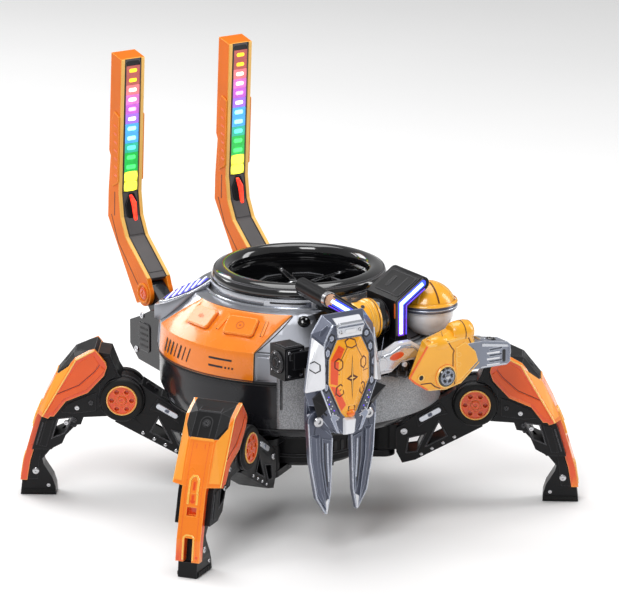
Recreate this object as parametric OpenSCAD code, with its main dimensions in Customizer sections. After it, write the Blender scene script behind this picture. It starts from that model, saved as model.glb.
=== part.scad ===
// Walking spider robot with a round speaker body, four jointed legs, two folding light
// antennas, a shield arm with two blades and a cannon arm.
// Origin: middle of the footprint on the floor. +Z up, the head faces -Y. Millimetres.

/* [Body] */
// Outside radius of the cover's skirt
cover_r = 84.5; // [84:0.5:85]
// Height of the skirt's lower edge
skirt_z = 95; // [94.5:0.5:95.5]
// Thickness of the moulded body walls
wall = 3; // [2.5:0.5:3]
// Distance of the body's axis behind (+) or in front (-) of the origin
body_y = -14; // [-16:1:-12]
// Radius of the middle line of the black rim ring
rim_mid_r = 46.25; // [46:0.25:46.5]
// Radius of the rim ring's tube
rim_tube_r = 5.75; // [5.5:0.25:5.75]

/* [Legs] */
// Angle of each leg away from the left-right axis
leg_angle = 35; // [34:1:36]
// Distance of the hip's axis from the body's axis
hip_r = 50; // [50:0.5:51]
// Distance of the knee's axis from the body's axis
knee_r = 105.8; // [105:0.2:107]
// Height of the knee's axis
knee_z = 62; // [61:0.5:63]
// Outside radius of the knee tyre
tyre_r = 13.3; // [13:0.1:13.4]
// Width over both knee wheels
knee_w = 28; // [27:0.5:28]
// Radius of the hip and knee pins
leg_pin_r = 3; // [2.5:0.25:3]

/* [Antennas] */
// Distance of each antenna's middle from the centre plane
antenna_x = 38.3; // [37:0.1:39]
// Width of an antenna
antenna_w = 16.5; // [16:0.5:17]
// Radius of the antenna's hinge pin
antenna_pin_r = 2.5; // [2:0.25:2.5]

/* [Arms] */
// Distance of the shield's middle from the centre plane
shield_x = -37; // [-38:0.5:-36]
// Height of the shield's pivot
shield_pivot_z = 118; // [117:0.5:119]
// Height of the cannon's elbow pivot
elbow_z = 95.4; // [95:0.1:96]
// Distance of the cannon's elbow from the centre plane
elbow_x = 35.2; // [35:0.1:36]

/* [Fits] */
// Radial clearance of a turning pin
running = 0.05; // [0.03:0.01:0.1]
// Clear gap between parts that move past each other
gap = 0.3; // [0.3:0.05:0.5]

/* [Hidden] */
$fn = 64;
eps = 0.01;
far = 400;

// Leg directions, counter-clockwise from +X
front_left = 180 + leg_angle;
front_right = -leg_angle;
rear_left = 180 - leg_angle;
rear_right = leg_angle;
LEGS = [front_left, front_right, rear_left, rear_right];

// Cover profile
dome_top_r = 55;
dome_top_z = 132;
dome_mid_r = 63;
dome_mid_z = 130.5;
crease_r = 83;
crease_z = 112;
dome_tilt = atan2(dome_mid_z - crease_z, crease_r - dome_mid_r);
opening_r = 50.5;

// Control panel and its two push pads
panel_from = 158;
panel_to = 219;
panel_lean = 15;
panel_sink = 1.4;
panel_t = 2;
pad_r = 70.7;
pad_z = dome_mid_z - (pad_r - dome_mid_r) * tan(dome_tilt);
pad_size = [12.6, 20, 1.8];
pad_corner = 2.6;
pad_base = -0.1;
play_angle = 209;
mode_angle = 184.5;
stem_r = 2.4;

// Chassis
hub_r = 40;
floor_z = 52;
lug_r = 7.5;
lug_low_z = 27;
lug_t = 4;
lug_high_z = 47;
boss_r = 7.3;

// Leg
spine_w = 9.6;
cheek_w = 19;
fork_gap = spine_w + 0.8;
shin_w = 22;
foot_w = 12;
armour_w = 30;
armour_wall = 2.6;
strip_w = 15;
drum_clear_r = tyre_r + 0.7;
lug_ring_r = 12.8;
hub_disc_r = 9.3;
wheel_in = 9;
wheel_t = knee_w / 2 - wheel_in;

// Antenna
hinge_y = 103.5;
hinge_z = 108.5;
boss_out_r = 8;
clevis_wall = 3;
lug_w = antenna_w - 2 * clevis_wall - 2 * gap;

// Head
bay_x = 26;
bay_y = -56;
bay_floor_z = 97;
bracket_y = -84.6;
drum_y = -72;
drum_z = 127.5;
drum_flange_r = 12.4;
drum_body_r = 11;
drum_from = -13;
drum_length = 18;
drum_flange_t = 3.4;
// x where each drum cheek starts, its thickness and its radius
drum_cheeks = [[-16, 2.7, 5.4], [5.3, 5.2, 11]];
cheek_half = 5.4;

// Shield
shield_pivot_y = -97;
shield_back_y = -104;
shield_front_y = -112;
shield_pin_r = 2.5;
ear_in = 7.7;
ear_t = 5;
ear_r = 4;
blade_y = -106.25;
blade_t = 3.4;
blade_pivot_u = 19.5;
// How much nearer the middle the right blade hangs
blade_inset = 4.5;
blade_pivot_z = 84;
blade_pin_r = 2.6;

// Cannon arm
casing_front_y = -105;
casing_back_y = -93.4;
link_front_y = -93;
link_back_y = -88.8;
arm_root_x = -3;
arm_root_z = 106;
arm_pin_r = 2.8;

// ---------- placing ----------

module on_body() translate([0, body_y, 0]) children();

module at_leg(angle) on_body() rotate([0, 0, angle]) children();

// Side outline (distance out, height) given a width across the leg
module across(width) rotate([90, 0, 0]) linear_extrude(width, center = true) children();

// Outline drawn in (y, z), given a width along x
module along_x(width) rotate([90, 0, 90]) linear_extrude(width, center = true) children();

// Outline drawn in (x, z), from the plane y = y0 back to y = y1
module between_y(y0, y1)
    translate([0, y1, 0]) rotate([90, 0, 0]) linear_extrude(y1 - y0) children();

module at_knee() translate([knee_r, 0, knee_z]) rotate([90, 0, 0]) children();

module on_dome(angle) rotate([0, 0, angle]) translate([pad_r, 0, pad_z])
    rotate([0, dome_tilt, 0]) children();

module both_sides() {
    children();
    mirror([1, 0, 0]) children();
}

// Rounded rectangle, centred
module rounded(size, r) {
    square([size[0] - 2 * r, size[1]], center = true);
    square([size[0], size[1] - 2 * r], center = true);
    for (sx = [-1, 1], sy = [-1, 1])
        translate([sx * (size[0] / 2 - r), sy * (size[1] / 2 - r)]) circle(r);
}

function mirrored(points) = concat(points, [for (i = [len(points) - 1 : -1 : 0])
    [-points[i][0], points[i][1]]]);

// ---------- body ----------

// Solid of revolution filling the cover out to its skin, sunk by `inset` on the dome
module cover_solid(inset = 0) {
    drop = inset / cos(dome_tilt);
    rotate_extrude() polygon([
        [0, skirt_z], [cover_r - inset, skirt_z], [crease_r - inset * 0.6, crease_z - inset * 0.6],
        [dome_mid_r, dome_mid_z - drop], [dome_top_r, dome_top_z - drop], [0, dome_top_z - drop]
    ]);
}

// Plan outline of the control panel: its ends lean with the dome
module panel_plan(grow = 0) {
    far_r = cover_r + 12;
    // just outside the crease, so that no corner falls on it
    bend_r = crease_r + 0.2;
    a0 = panel_from - grow;
    a1 = panel_to + grow;
    polygon(concat(
        [dome_mid_r * dir(a1 + panel_lean), bend_r * dir(a1)],
        [for (i = [0 : 5]) far_r * dir(a1 + (a0 - a1) * i / 5)],
        [bend_r * dir(a0), dome_mid_r * dir(a0 + panel_lean)],
        [for (i = [1 : 7]) dome_mid_r * 0.9 * dir(a0 + panel_lean + (a1 - a0) * i / 8)]
    ));
}

function dir(angle) = [cos(angle), sin(angle)];

module top_cover() color("silver") on_body() difference() {
    rotate_extrude() polygon([
        [opening_r, dome_top_z - wall], [opening_r, dome_top_z], [dome_top_r, dome_top_z],
        [dome_mid_r, dome_mid_z], [crease_r, crease_z], [cover_r, skirt_z],
        [cover_r - wall, skirt_z], [crease_r - wall, crease_z - wall * 0.4],
        [dome_mid_r - wall * 0.4, dome_mid_z - wall * 1.25],
        [dome_top_r - wall * 0.2, dome_top_z - wall]
    ]);
    // head bay
    translate([-bay_x, -far, bay_floor_z]) cube([2 * bay_x, far + bay_y, far]);
    panel_skin(-panel_sink, 3);
    for (a = [play_angle, mode_angle])
        on_dome(a) cylinder(h = 20, r = stem_r + gap, center = true);
    for (a = screw_angles) screw_place(a) cylinder(h = 10, r = screw_stem_r, center = true);
}

// Skin between two offsets from the cover's surface, inside the panel's plan
module panel_skin(from, to) intersection() {
    rotate_extrude() polygon([
        [dome_mid_r + from * 0.7, dome_mid_z + from * 0.7],
        [crease_r + from, crease_z + from * 0.5],
        [cover_r + from, skirt_z - 1], [cover_r + to, skirt_z - 1],
        [crease_r + to, crease_z + to * 0.5],
        [dome_mid_r + to * 0.7, dome_mid_z + to * 0.7]
    ]);
    linear_extrude(far) panel_plan();
}

module control_panel() color("darkorange") on_body() difference() {
    panel_skin(-panel_sink, panel_t - panel_sink);
    translate([0, 0, skirt_z - far]) cylinder(h = far, r = cover_r + 10);
    for (a = [play_angle, mode_angle]) on_dome(a) translate([0, 0, -5])
        linear_extrude(10) rounded([pad_size[0] + 2 * gap, pad_size[1] + 2 * gap], pad_corner);
}

module push_pad(angle) color("orange") on_body() on_dome(angle) {
    translate([0, 0, pad_base]) linear_extrude(pad_size[2])
        rounded([pad_size[0], pad_size[1]], pad_corner);
    translate([0, 0, pad_base - 7]) cylinder(h = 7 + eps, r = stem_r);
}

module play_button() push_pad(play_angle);
module mode_button() push_pad(mode_angle);

// Two screws on the dome, either side of the head
screw_angles = [240, 309];
screw_head_r = 3.2;
screw_stem_r = 1.6;
screw_at = 66.2;
module screw_place(angle) rotate([0, 0, angle])
    translate([screw_at, 0, dome_mid_z - (screw_at - dome_mid_r) * tan(dome_tilt)])
    rotate([0, dome_tilt, 0]) children();

module cover_screws() color("black") on_body() for (a = screw_angles) screw_place(a) {
    translate([0, 0, eps]) cylinder(h = 1.8, r = screw_head_r);
    translate([0, 0, -4]) cylinder(h = 4 + 2 * eps, r = screw_stem_r);
}

module lower_shell() color("dimgray") on_body() rotate_extrude() polygon([
    [0, floor_z], [44, floor_z], [67, 57], [74.3, 60], [79.4, 65], [83.5, 75], [84, skirt_z],
    [84 - wall, skirt_z], [83.5 - wall, 76], [79.4 - wall * 0.85, 66.6],
    [74.3 - wall * 0.6, 62.6], [66.4, 57 + wall], [43.6, floor_z + wall], [0, floor_z + wall]
]);

module rim_ring() color("black") on_body() rotate_extrude() {
    translate([rim_mid_r, 139.4]) circle(rim_tube_r);
    translate([41.6, dome_top_z + eps]) square([8.8, 5]);
}

module inner_collar() color("lightgray") on_body() difference() {
    rotate_extrude() polygon([[opening_r, dome_top_z], [opening_r, 135], [52, 137.2],
        [53, 137.2], [53, dome_top_z]]);
    // two long slots in the front of the collar
    for (a = [226, 314]) rotate([0, 0, a]) translate([52, -9, 134]) cube([3, 18, 1.6]);
}

module web_frame() color("black") on_body() {
    rotate_extrude() polygon([[39.4, 112], [39.4, 136], [41.5, 136], [41.5, 112]]);
    for (i = [0 : 5]) rotate([0, 0, i * 60 + 15])
        translate([8, -1.6, 127]) cube([31.6, 3.2, 3]);
    rotate_extrude() translate([8, 126.5]) square([3, 4]);
    rotate_extrude() translate([23, 127.2]) square([2.2, 2.6]);
    translate([0, 0, 126.5]) cylinder(h = 4, r = 8.5);
}

module speaker_driver() color("gray") on_body() {
    rotate_extrude() polygon([[44, 109], [44, 111.9], [33, 111.9], [14, 97], [0, 100],
        [0, 76], [24, 76], [24, 90], [14, 92], [34, 109]]);
}

module battery_pack() color("royalblue") on_body()
    translate([-30, -18, floor_z + wall + 0.1]) cube([60, 36, 18]);

module main_board() color("green") on_body() {
    translate([-37, 30, 76]) cube([74, 34, 1.6]);
    translate([-9, 40, 77.6]) cube([18, 14, 3]);
    translate([18, 44, 77.6]) cube([9, 9, 5]);
    translate([-30, 44, 77.6]) cube([12, 8, 6]);
}

// Lens-shaped pods on the shoulders, sloping outwards
vent_angle = 150;
module side_vents() color("silver") on_body() both_sides() difference() {
    rotate([0, 0, vent_angle]) translate([67, 0, 100]) linear_extrude(60) intersection() {
        translate([0, -13]) circle(23.5);
        translate([0, 13]) circle(23.5);
    }
    rotate([0, 0, vent_angle]) translate([55, 0, 134.5]) rotate([0, 24, 0])
        translate([-60, -60, 0]) cube([150, 120, 80]);
    cover_solid();
    cylinder(h = far, r = 54);
    translate([0, 0, -1]) cylinder(h = crease_z + 1, r = far);
}

// ---------- chassis ----------

module chassis_hub() color("black") on_body() difference() {
    union() {
        rotate_extrude() polygon([[0, 30], [36, 30], [hub_r, 33], [hub_r, 49], [44, 49],
            [44, floor_z], [0, floor_z]]);
        for (a = LEGS, z = [lug_low_z, lug_high_z]) rotate([0, 0, a]) {
            translate([hip_r, 0, z]) cylinder(h = lug_t, r = lug_r);
            translate([30, -lug_r, z]) cube([hip_r - 30, 2 * lug_r, lug_t]);
        }
        // ribs on the underside
        for (i = [0 : 7]) rotate([0, 0, i * 45]) translate([8, -1.5, 28]) cube([28, 3, 3]);
    }
    for (a = LEGS) rotate([0, 0, a]) translate([hip_r, 0, 0]) cylinder(h = 60, r = leg_pin_r);
}

module hinge_pins() color("lightsteelblue") on_body() {
    for (a = LEGS) rotate([0, 0, a]) translate([hip_r, 0, lug_low_z - 1])
        cylinder(h = lug_high_z + lug_t - lug_low_z + 1, r = leg_pin_r);
    both_sides() translate([antenna_x - antenna_w / 2 + 0.5, hinge_y, hinge_z])
        rotate([0, 90, 0]) cylinder(h = antenna_w - 1, r = antenna_pin_r);
    translate([shield_x - ear_in - ear_t, shield_pivot_y, shield_pivot_z]) rotate([0, 90, 0])
        cylinder(h = 2 * (ear_in + ear_t), r = shield_pin_r);
    translate([arm_root_x, -80, arm_root_z]) rotate([90, 0, 0])
        cylinder(h = 15, r = arm_pin_r);
}

// ---------- legs (drawn pointing along +X) ----------

module thigh() color("dimgray") difference() {
    union() {
        translate([hip_r, 0, lug_low_z + lug_t + gap])
            cylinder(h = lug_high_z - lug_low_z - lug_t - 2 * gap, r = boss_r);
        translate([hip_r, -6, lug_low_z + lug_t + gap])
            cube([12, 12, lug_high_z - lug_low_z - lug_t - 2 * gap]);
        across(spine_w) thigh_outline();
        at_knee() cylinder(h = spine_w, r = lug_ring_r, center = true);
        difference() {
            across(cheek_w) thigh_outline();
            at_knee() cylinder(h = 40, r = drum_clear_r, center = true);
        }
    }
    // truss windows
    across(40) polygon([[64.5, 30.5], [71, 31.5], [76, 42.5], [66, 40]]);
    across(40) polygon([[76, 34.5], [89, 41.5], [84, 50.5]]);
    translate([hip_r, 0, 0]) cylinder(h = 60, r = leg_pin_r + running);
    at_knee() cylinder(h = 40, r = leg_pin_r + running, center = true);
}

module thigh_outline() polygon([[58.6, 31], [62.2, 24], [70.2, 26.1], [110.3, 47.4],
    [knee_r, knee_z], [94, 70.5], [72, 56], [62, 48], [58.6, 46]]);

module each_side() for (flip = [0, 180]) rotate([flip, 0, 0]) children();

module knee_tyre() color("black") at_knee() each_side() translate([0, 0, wheel_in])
    rotate_extrude() polygon([[hub_disc_r, 0], [tyre_r, 0], [tyre_r, wheel_t - 1],
        [tyre_r - 1, wheel_t], [hub_disc_r, wheel_t]]);

module knee_hub() color("orangered") at_knee() {
    each_side() difference() {
        translate([0, 0, wheel_in]) cylinder(h = wheel_t - 0.3, r = hub_disc_r);
        cylinder(h = knee_w, r = leg_pin_r + running);
        for (i = [0 : 5]) rotate([0, 0, i * 60]) translate([6, 0, wheel_in + 2.5])
            cylinder(h = wheel_t, r = 1.5);
    }
    cylinder(h = knee_w - 3, r = leg_pin_r, center = true);
}

// Outline of the black shin frame, from the knee bracket to the foot
module shin_outline() {
    translate([knee_r, knee_z]) circle(12.5);
    polygon([[105, 73], [108.5, 79], [112.8, 90.3], [121, 91.5], [130.5, 86], [135.8, 76.4],
        [141.8, 75], [149, 62.5], [155.3, 47.5], [162.8, 22], [164.8, 9.6], [167, 9],
        [168, 0], [146.5, 0], [146.8, 5], [148.6, 10.7], [153.7, 19], [154.6, 22.5],
        [147.6, 31], [142, 34], [137.3, 45], [130.6, 46], [129, 50.5], [112, 51.5]]);
}

module shin() color("black") difference() {
    union() {
        intersection() {
            across(shin_w) shin_outline();
            translate([100, -far / 2, 30]) cube([100, far, 100]);
        }
        intersection() {
            across(foot_w) shin_outline();
            translate([100, -far / 2, 0]) cube([100, far, 34]);
        }
    }
    at_knee() each_side() translate([0, 0, wheel_in - 0.1]) cylinder(h = 20, r = drum_clear_r);
    at_knee() cylinder(h = fork_gap, r = lug_ring_r + 0.5, center = true);
    at_knee() cylinder(h = 40, r = leg_pin_r, center = true);
    // the frame stops where the armour begins
    armour_solid();
    // window in the shin
    across(40) polygon([[136, 50], [144, 49], [147.5, 38], [141, 41]]);
}

// Armour: side walls and a raised centre strip
armour_side = [[121.7, 94], [115, 85.5], [114.4, 83], [116.3, 77.6], [126, 67], [139.3, 61.4],
    [146.5, 52], [153.8, 51.8], [138.5, 77.8], [133.2, 87.6]];
armour_strip = [[122.5, 93], [134.5, 90.4], [144.7, 77.7], [152.1, 63.6], [158.5, 48],
    [166, 22], [168, 9.5], [163.8, 9.5], [161.8, 21.5], [154.3, 47], [147, 62], [138, 77]];
armour_hollow = [[122.5, 91], [112, 92], [112, 60], [150, 49], [151.5, 50.2], [136.4, 76.3],
    [131.4, 85.4]];

module armour_solid() {
    difference() {
        across(armour_w) polygon(armour_side);
        across(armour_w - 2 * armour_wall) polygon(armour_hollow);
    }
    difference() {
        hull() {
            across(armour_w) polygon([[121.7, 94], [133.2, 87.6], [153.8, 51.8], [150, 50.5],
                [120, 91]]);
            across(strip_w) polygon([[122.5, 93], [134.5, 90.4], [144.7, 77.7],
                [152.1, 63.6], [157, 51.8]]);
        }
        across(armour_w - 2 * armour_wall) polygon(armour_hollow);
    }
    across(strip_w) polygon(armour_strip);
}

cap_outline = [[121.9, 97], [119, 91.5], [121.7, 91.4], [132, 85.8], [136.4, 77.5],
    [150, 77.2], [150, 97]];

module armour() color("darkorange") difference() {
    armour_solid();
    across(26) polygon(cap_outline);
    // slots in the centre strip
    across(6) polygon([[158, 40], [166, 41], [166, 36], [158, 35]]);
    across(5) polygon([[160, 22], [170, 24], [170, 5], [160, 5]]);
}

module knee_cap() color("darkslategray") intersection() {
    armour_solid();
    across(26 - 2 * eps) polygon(cap_outline);
}

// ---------- antennas ----------

// Side outline of an antenna in (y, z): cranked back from the hinge, then upright
antenna_front = [[99.2, 118.5], [124.6, 138.6], [130.5, 150], [132.5, 164.5], [127.4, 249.5]];
antenna_back = [[139.3, 252], [143.2, 190], [141.6, 187], [144.6, 164], [145.5, 147.9],
    [111.7, 100.4]];
light_foot = [101.6, 116.2];

module antenna_side()
    polygon(concat(antenna_front, antenna_back, [[103, 104], [97.5, 109], [97, 113]]));

module across_hinge(r, length) translate([0, hinge_y, hinge_z]) rotate([0, 90, 0])
    cylinder(h = length, r = r, center = true);

// The strip let into the antenna's front face
module light_side() polygon(concat(antenna_front,
    [[130.4, 249.5], [135.5, 164.8], [133.4, 149], [126.9, 136.2], light_foot]));

light_w = 11;

module antenna_shell() color("darkorange") difference() {
    union() {
        along_x(antenna_w) antenna_side();
        across_hinge(boss_out_r, antenna_w);
    }
    along_x(light_w) light_side();
    // clevis slot for the pod's lug
    across_hinge(boss_out_r + 1.5, antenna_w - 2 * clevis_wall);
    along_x(antenna_w - 2 * clevis_wall)
        polygon([[90, 119.5], antenna_front[0], light_foot, [109, 115.5], [116, 96], [98, 90]]);
    across_hinge(antenna_pin_r + running, 2 * antenna_w);
}

module antenna_lights() color("white") along_x(light_w - 0.02) light_side();

module at_antenna(side) on_body() translate([side * antenna_x, 0, 0]) children();

module rear_pod() color("dimgray") on_body() difference() {
    union() {
        along_x(110) polygon([[60, 68], [96, 70], [106, 78], [106, 93], [94, 98], [80, 105],
            [60, 109]]);
        both_sides() translate([antenna_x, 0, 0]) {
            across_hinge(6.8, lug_w);
            along_x(lug_w)
                polygon([[80, 92], [98, 94], [107.5, 103], [100.5, 114.5], [86, 104]]);
        }
    }
    cylinder(h = far, r = cover_r);
    both_sides() translate([antenna_x, 0, 0]) across_hinge(antenna_pin_r, 2 * antenna_w);
}

// ---------- head ----------

bracket_path = [[32.4, 147.5], [17.3, 137.4], [17.3, 116]];

// Band of the given half width along the bracket's bent path, round at its upper end
module bracket_band(half, low) {
    a = atan2(bracket_path[0][1] - bracket_path[1][1], bracket_path[0][0] - bracket_path[1][0]);
    n = [-sin(a), cos(a)] * half;
    // where the offset lines meet at the elbow
    k = half * tan((90 - a) / 2);
    translate(bracket_path[0]) circle(half);
    polygon([bracket_path[0] + n, bracket_path[1] + [-half, k],
        [bracket_path[1][0] - half, low], [bracket_path[1][0] + half, low],
        bracket_path[1] + [half, -k], bracket_path[0] - n]);
}

module light_brackets() color("black") on_body() both_sides() difference() {
    union() {
        between_y(bracket_y, bracket_y + 6.6) bracket_band(4.2, 116);
        intersection() {
            between_y(bracket_y, -54) bracket_band(4.2, 116);
            translate([13.1, -100, 133]) cube([60, 60, 30]);
        }
    }
    between_y(bracket_y - 1, bracket_y + 2) bracket_band(2.2, 118);
}

module light_strips() color("deepskyblue") on_body() both_sides()
    between_y(bracket_y + 0.4, bracket_y + 2) bracket_band(2.19, 118);

module drum_axis(x) translate([x, drum_y, drum_z]) rotate([0, 90, 0]) children();

module head_drum() color("gold") on_body() {
    drum_axis(drum_from) cylinder(h = drum_length - drum_flange_t, r = drum_body_r);
    drum_axis(drum_from + drum_length - drum_flange_t - eps)
        cylinder(h = drum_flange_t, r = drum_flange_r);
}

module head_frame() color("black") on_body() difference() {
    union() {
        translate([-bay_x + gap, -86, bay_floor_z + eps]) cube([2 * bay_x - 2 * gap, 29, 15.5]);
        translate([-21.5, -86, bay_floor_z + 15]) cube([8.4, 8, 3.99]);
        translate([13.1, -86, bay_floor_z + 15]) cube([8.4, 8, 3.99]);
        // cheeks of the drum
        for (cheek = drum_cheeks) {
            drum_axis(cheek[0]) cylinder(h = cheek[1], r = cheek[2]);
            translate([cheek[0], drum_y - cheek_half, 108]) cube([cheek[1], 2 * cheek_half, 14]);
        }
        // beam and servo box of the shield arm
        translate([-62, -92.5, 111.5]) cube([44, 6.5, 10.5]);
        translate([-26, -87, 104]) cube([8, 5, 12]);
        translate([-67, -90, 105]) cube([13.5, 16, 19.5]);
        // lug between the shield's ears
        translate([shield_x, shield_pivot_y, shield_pivot_z]) rotate([0, 90, 0])
            cylinder(h = 2 * (ear_in - gap), r = ear_r, center = true);
        translate([shield_x - ear_in + gap, shield_pivot_y, shield_pivot_z - ear_r])
            cube([2 * (ear_in - gap), 8, 2 * ear_r]);
        // boss of the cannon arm
        translate([arm_root_x, -84, arm_root_z]) rotate([90, 0, 0]) cylinder(h = 4.5, r = 6);
    }
    drum_axis(drum_from - gap) cylinder(h = drum_length + 2 * gap, r = drum_flange_r + 0.4);
    translate([shield_x, shield_pivot_y, shield_pivot_z]) rotate([0, 90, 0])
        cylinder(h = 60, r = shield_pin_r, center = true);
    translate([arm_root_x, -80, arm_root_z]) rotate([90, 0, 0]) cylinder(h = 20, r = arm_pin_r);
    // the skirt and dome pass behind the servo box
    difference() {
        cover_solid();
        translate([-bay_x, -far, bay_floor_z]) cube([2 * bay_x, far + bay_y, far]);
    }
}

shoulder = [44, -72, 127];

module shoulder_dome() color("white") on_body() difference() {
    translate(shoulder) sphere(15.5);
    translate([shoulder[0] - 30, shoulder[1] - 30, shoulder[2] + 4]) cube([60, 60, 30]);
    cover_solid();
}

module shoulder_hood() color("gold") on_body() difference() {
    translate(shoulder) sphere(17.5);
    translate(shoulder) sphere(15.6);
    translate([shoulder[0] - 30, shoulder[1] - 30, shoulder[2] - 56]) cube([60, 60, 60]);
    cover_solid();
}

// ---------- shield arm ----------

module at_shield() on_body() translate([shield_x, 0, 0]) children();

shield_rim = mirrored([[14, 146], [21, 136], [26, 102], [20, 84], [9, 74]]);
shield_ridge = mirrored([[10.5, 141], [16.5, 131], [19, 104], [11, 84], [4.5, 75]]);
face_outline = mirrored([[8.2, 132], [13.7, 121], [14, 106], [5.3, 87.5], [2, 84]]);

// Crowned body of the shield: a wide back outline blended to a narrow front outline
module crown() hull() {
    between_y(shield_back_y - 1, shield_back_y) polygon(shield_rim);
    between_y(shield_front_y, shield_front_y + 1) polygon(shield_ridge);
}

module shield_frame() color("slategray") at_shield() difference() {
    union() {
        difference() {
            crown();
            // slot that the blades turn in
            translate([-40, blade_y - blade_t / 2 - gap, 60])
                cube([80, blade_t + 2 * gap, 33]);
            between_y(shield_front_y - 1, shield_front_y + 1.5) polygon(face_outline);
        }
        // back plate with the pivot ears
        translate([-14, shield_back_y - eps, 92]) cube([28, 2.6, 34]);
        translate([-24, shield_back_y - eps, 78]) cube([48, 2.6, 20]);
        for (s = [-1, 1]) {
            translate([s * (ear_in + ear_t / 2), shield_pivot_y, shield_pivot_z])
                rotate([0, 90, 0]) cylinder(h = ear_t, r = ear_r, center = true);
            translate([s * (ear_in + ear_t / 2) - ear_t / 2, shield_back_y - eps,
                shield_pivot_z - ear_r])
                cube([ear_t, shield_pivot_y - shield_back_y, 2 * ear_r]);
        }
        // studs of the blades
        for (u = [-blade_pivot_u, blade_pivot_u - blade_inset])
            translate([u, shield_back_y + 1, blade_pivot_z]) rotate([90, 0, 0])
                cylinder(h = 6, r = blade_pin_r);
    }
    translate([0, shield_pivot_y, shield_pivot_z]) rotate([0, 90, 0])
        cylinder(h = 60, r = shield_pin_r + running, center = true);
}

module shield_face() color("orange") at_shield() {
    hull() {
        between_y(shield_front_y, shield_front_y + 1.5) polygon(face_outline);
        between_y(shield_front_y - 3, shield_front_y) polygon(mirrored([[3, 128],
            [7, 119], [7.5, 104], [2, 90]]));
    }
}

module shield_trim() color("white") at_shield() difference() {
    intersection() {
        translate([0, -1.4, 0]) crown();
        union() {
            // flanks
            both_sides() between_y(-120, -100)
                polygon([[17.5, 129.5], [23.2, 136], [27, 101], [17, 105]]);
            between_y(-120, -100) polygon(mirrored([[9, 144], [8, 133.5]]));
            between_y(-120, -100) polygon(mirrored([[4, 83], [2.8, 73]]));
        }
    }
    crown();
    between_y(-125, shield_front_y + 1.5) polygon(face_outline);
}

// A blade hangs from its stud and points down
module blade() difference() {
    union() {
        translate([-blade_pivot_u, blade_y + blade_t / 2, blade_pivot_z]) rotate([90, 0, 0])
            cylinder(h = blade_t, r = 6);
        between_y(blade_y - blade_t / 2, blade_y + blade_t / 2) polygon([[-25.5, 84],
            [-24, 60], [-19.6, 36.3], [-12.6, 25.7], [-10, 38.4], [-8.5, 72.6], [-13.5, 84]]);
    }
    translate([-blade_pivot_u, blade_y + 10, blade_pivot_z]) rotate([90, 0, 0])
        cylinder(h = 20, r = blade_pin_r + running);
}

module left_blade() color("slategray") at_shield() blade();
module right_blade() color("slategray") at_shield()
    translate([-blade_inset, 0, 0]) mirror([1, 0, 0]) blade();

// ---------- cannon arm ----------

casing_front = [[22.5, 116], [29, 116], [39.4, 117], [52, 118.1], [57.9, 108], [59.4, 100.4],
    [46, 89.6], [35.4, 87.4], [23.4, 88.4], [14.2, 94.2], [9.6, 98]];
casing_back = [[26.1, 116.2], [36.5, 117.8], [42.1, 119.8], [50.7, 123.3], [57, 122.4],
    [60.5, 113.4], [61, 102], [58, 93], [46, 88], [31.7, 87], [20.5, 90], [16.3, 95]];
muzzle_outline = [[51, 96.5], [78.5, 95.8], [81, 97.5], [81, 108], [79, 109.8], [62, 113],
    [51, 113]];

module cannon_casing() color("gold") on_body() difference() {
    hull() {
        between_y(casing_front_y, casing_front_y + 1) polygon(casing_front);
        between_y(casing_back_y - 3, casing_back_y) polygon(casing_back);
    }
    between_y(casing_front_y - 1, casing_back_y + 1) polygon(muzzle_outline);
    translate([elbow_x, -90, elbow_z]) rotate([90, 0, 0])
        cylinder(h = 20, r = arm_pin_r + running);
}

module cannon_muzzle() color("lightslategray") on_body() difference() {
    between_y(casing_front_y, casing_back_y) polygon(muzzle_outline);
    // barrel bore in the end and slots in the front
    translate([70, (casing_front_y + casing_back_y) / 2, 102.8]) rotate([0, 90, 0])
        cylinder(h = 20, r = 3.4);
    for (i = [0 : 2]) translate([66, casing_front_y - 1, 99 + i * 3.6]) cube([9, 2, 1.2]);
}

module cannon_dial() color("gray") on_body() difference() {
    translate([elbow_x, casing_front_y, elbow_z]) rotate([90, 0, 0]) cylinder(h = 2, r = 4.8);
    for (i = [0 : 4]) translate([elbow_x, 0, elbow_z]) rotate([0, i * 72, 0])
        translate([3, casing_front_y - 1, 0]) rotate([90, 0, 0]) cylinder(h = 2, r = 0.9);
}

module arm_link() color("whitesmoke") on_body() difference() {
    union() {
        between_y(link_front_y, link_back_y) {
            polygon([[arm_root_x, 112.5], [2, 112.8], [10, 116.6], [19, 116.6], [28, 110.5],
                [40.5, 100.5], [elbow_x, elbow_z], [30, 91.5], [22, 105.5], [11.5, 104.8],
                [4.6, 99.8], [arm_root_x, 99.5]]);
            translate([arm_root_x, arm_root_z]) circle(6.5);
            translate([elbow_x, elbow_z]) circle(6.5);
        }
        translate([elbow_x, link_back_y, elbow_z]) rotate([90, 0, 0])
            cylinder(h = link_back_y - casing_front_y - 0.5, r = arm_pin_r);
    }
    translate([arm_root_x, -80, arm_root_z]) rotate([90, 0, 0])
        cylinder(h = 20, r = arm_pin_r + running);
}

module front_apron() color("silver") on_body() difference() {
    rotate_extrude(angle = 82, start = 229) polygon([[cover_r + 0.1, 68], [86.6, 68],
        [87.6, 71], [87.6, 110], [86.4, 111.5], [cover_r + 0.1, 111.5]]);
    translate([-bay_x, -far, bay_floor_z - 0.5]) cube([2 * bay_x, far, 30]);
    for (x = [-56, 50]) translate([x, -90, 80]) cube([1.2, 60, 20]);
    translate([-67.4, -90.4, 104.6]) cube([14.3, 17, 20.3]);
}

// ---------- drawing ----------

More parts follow.
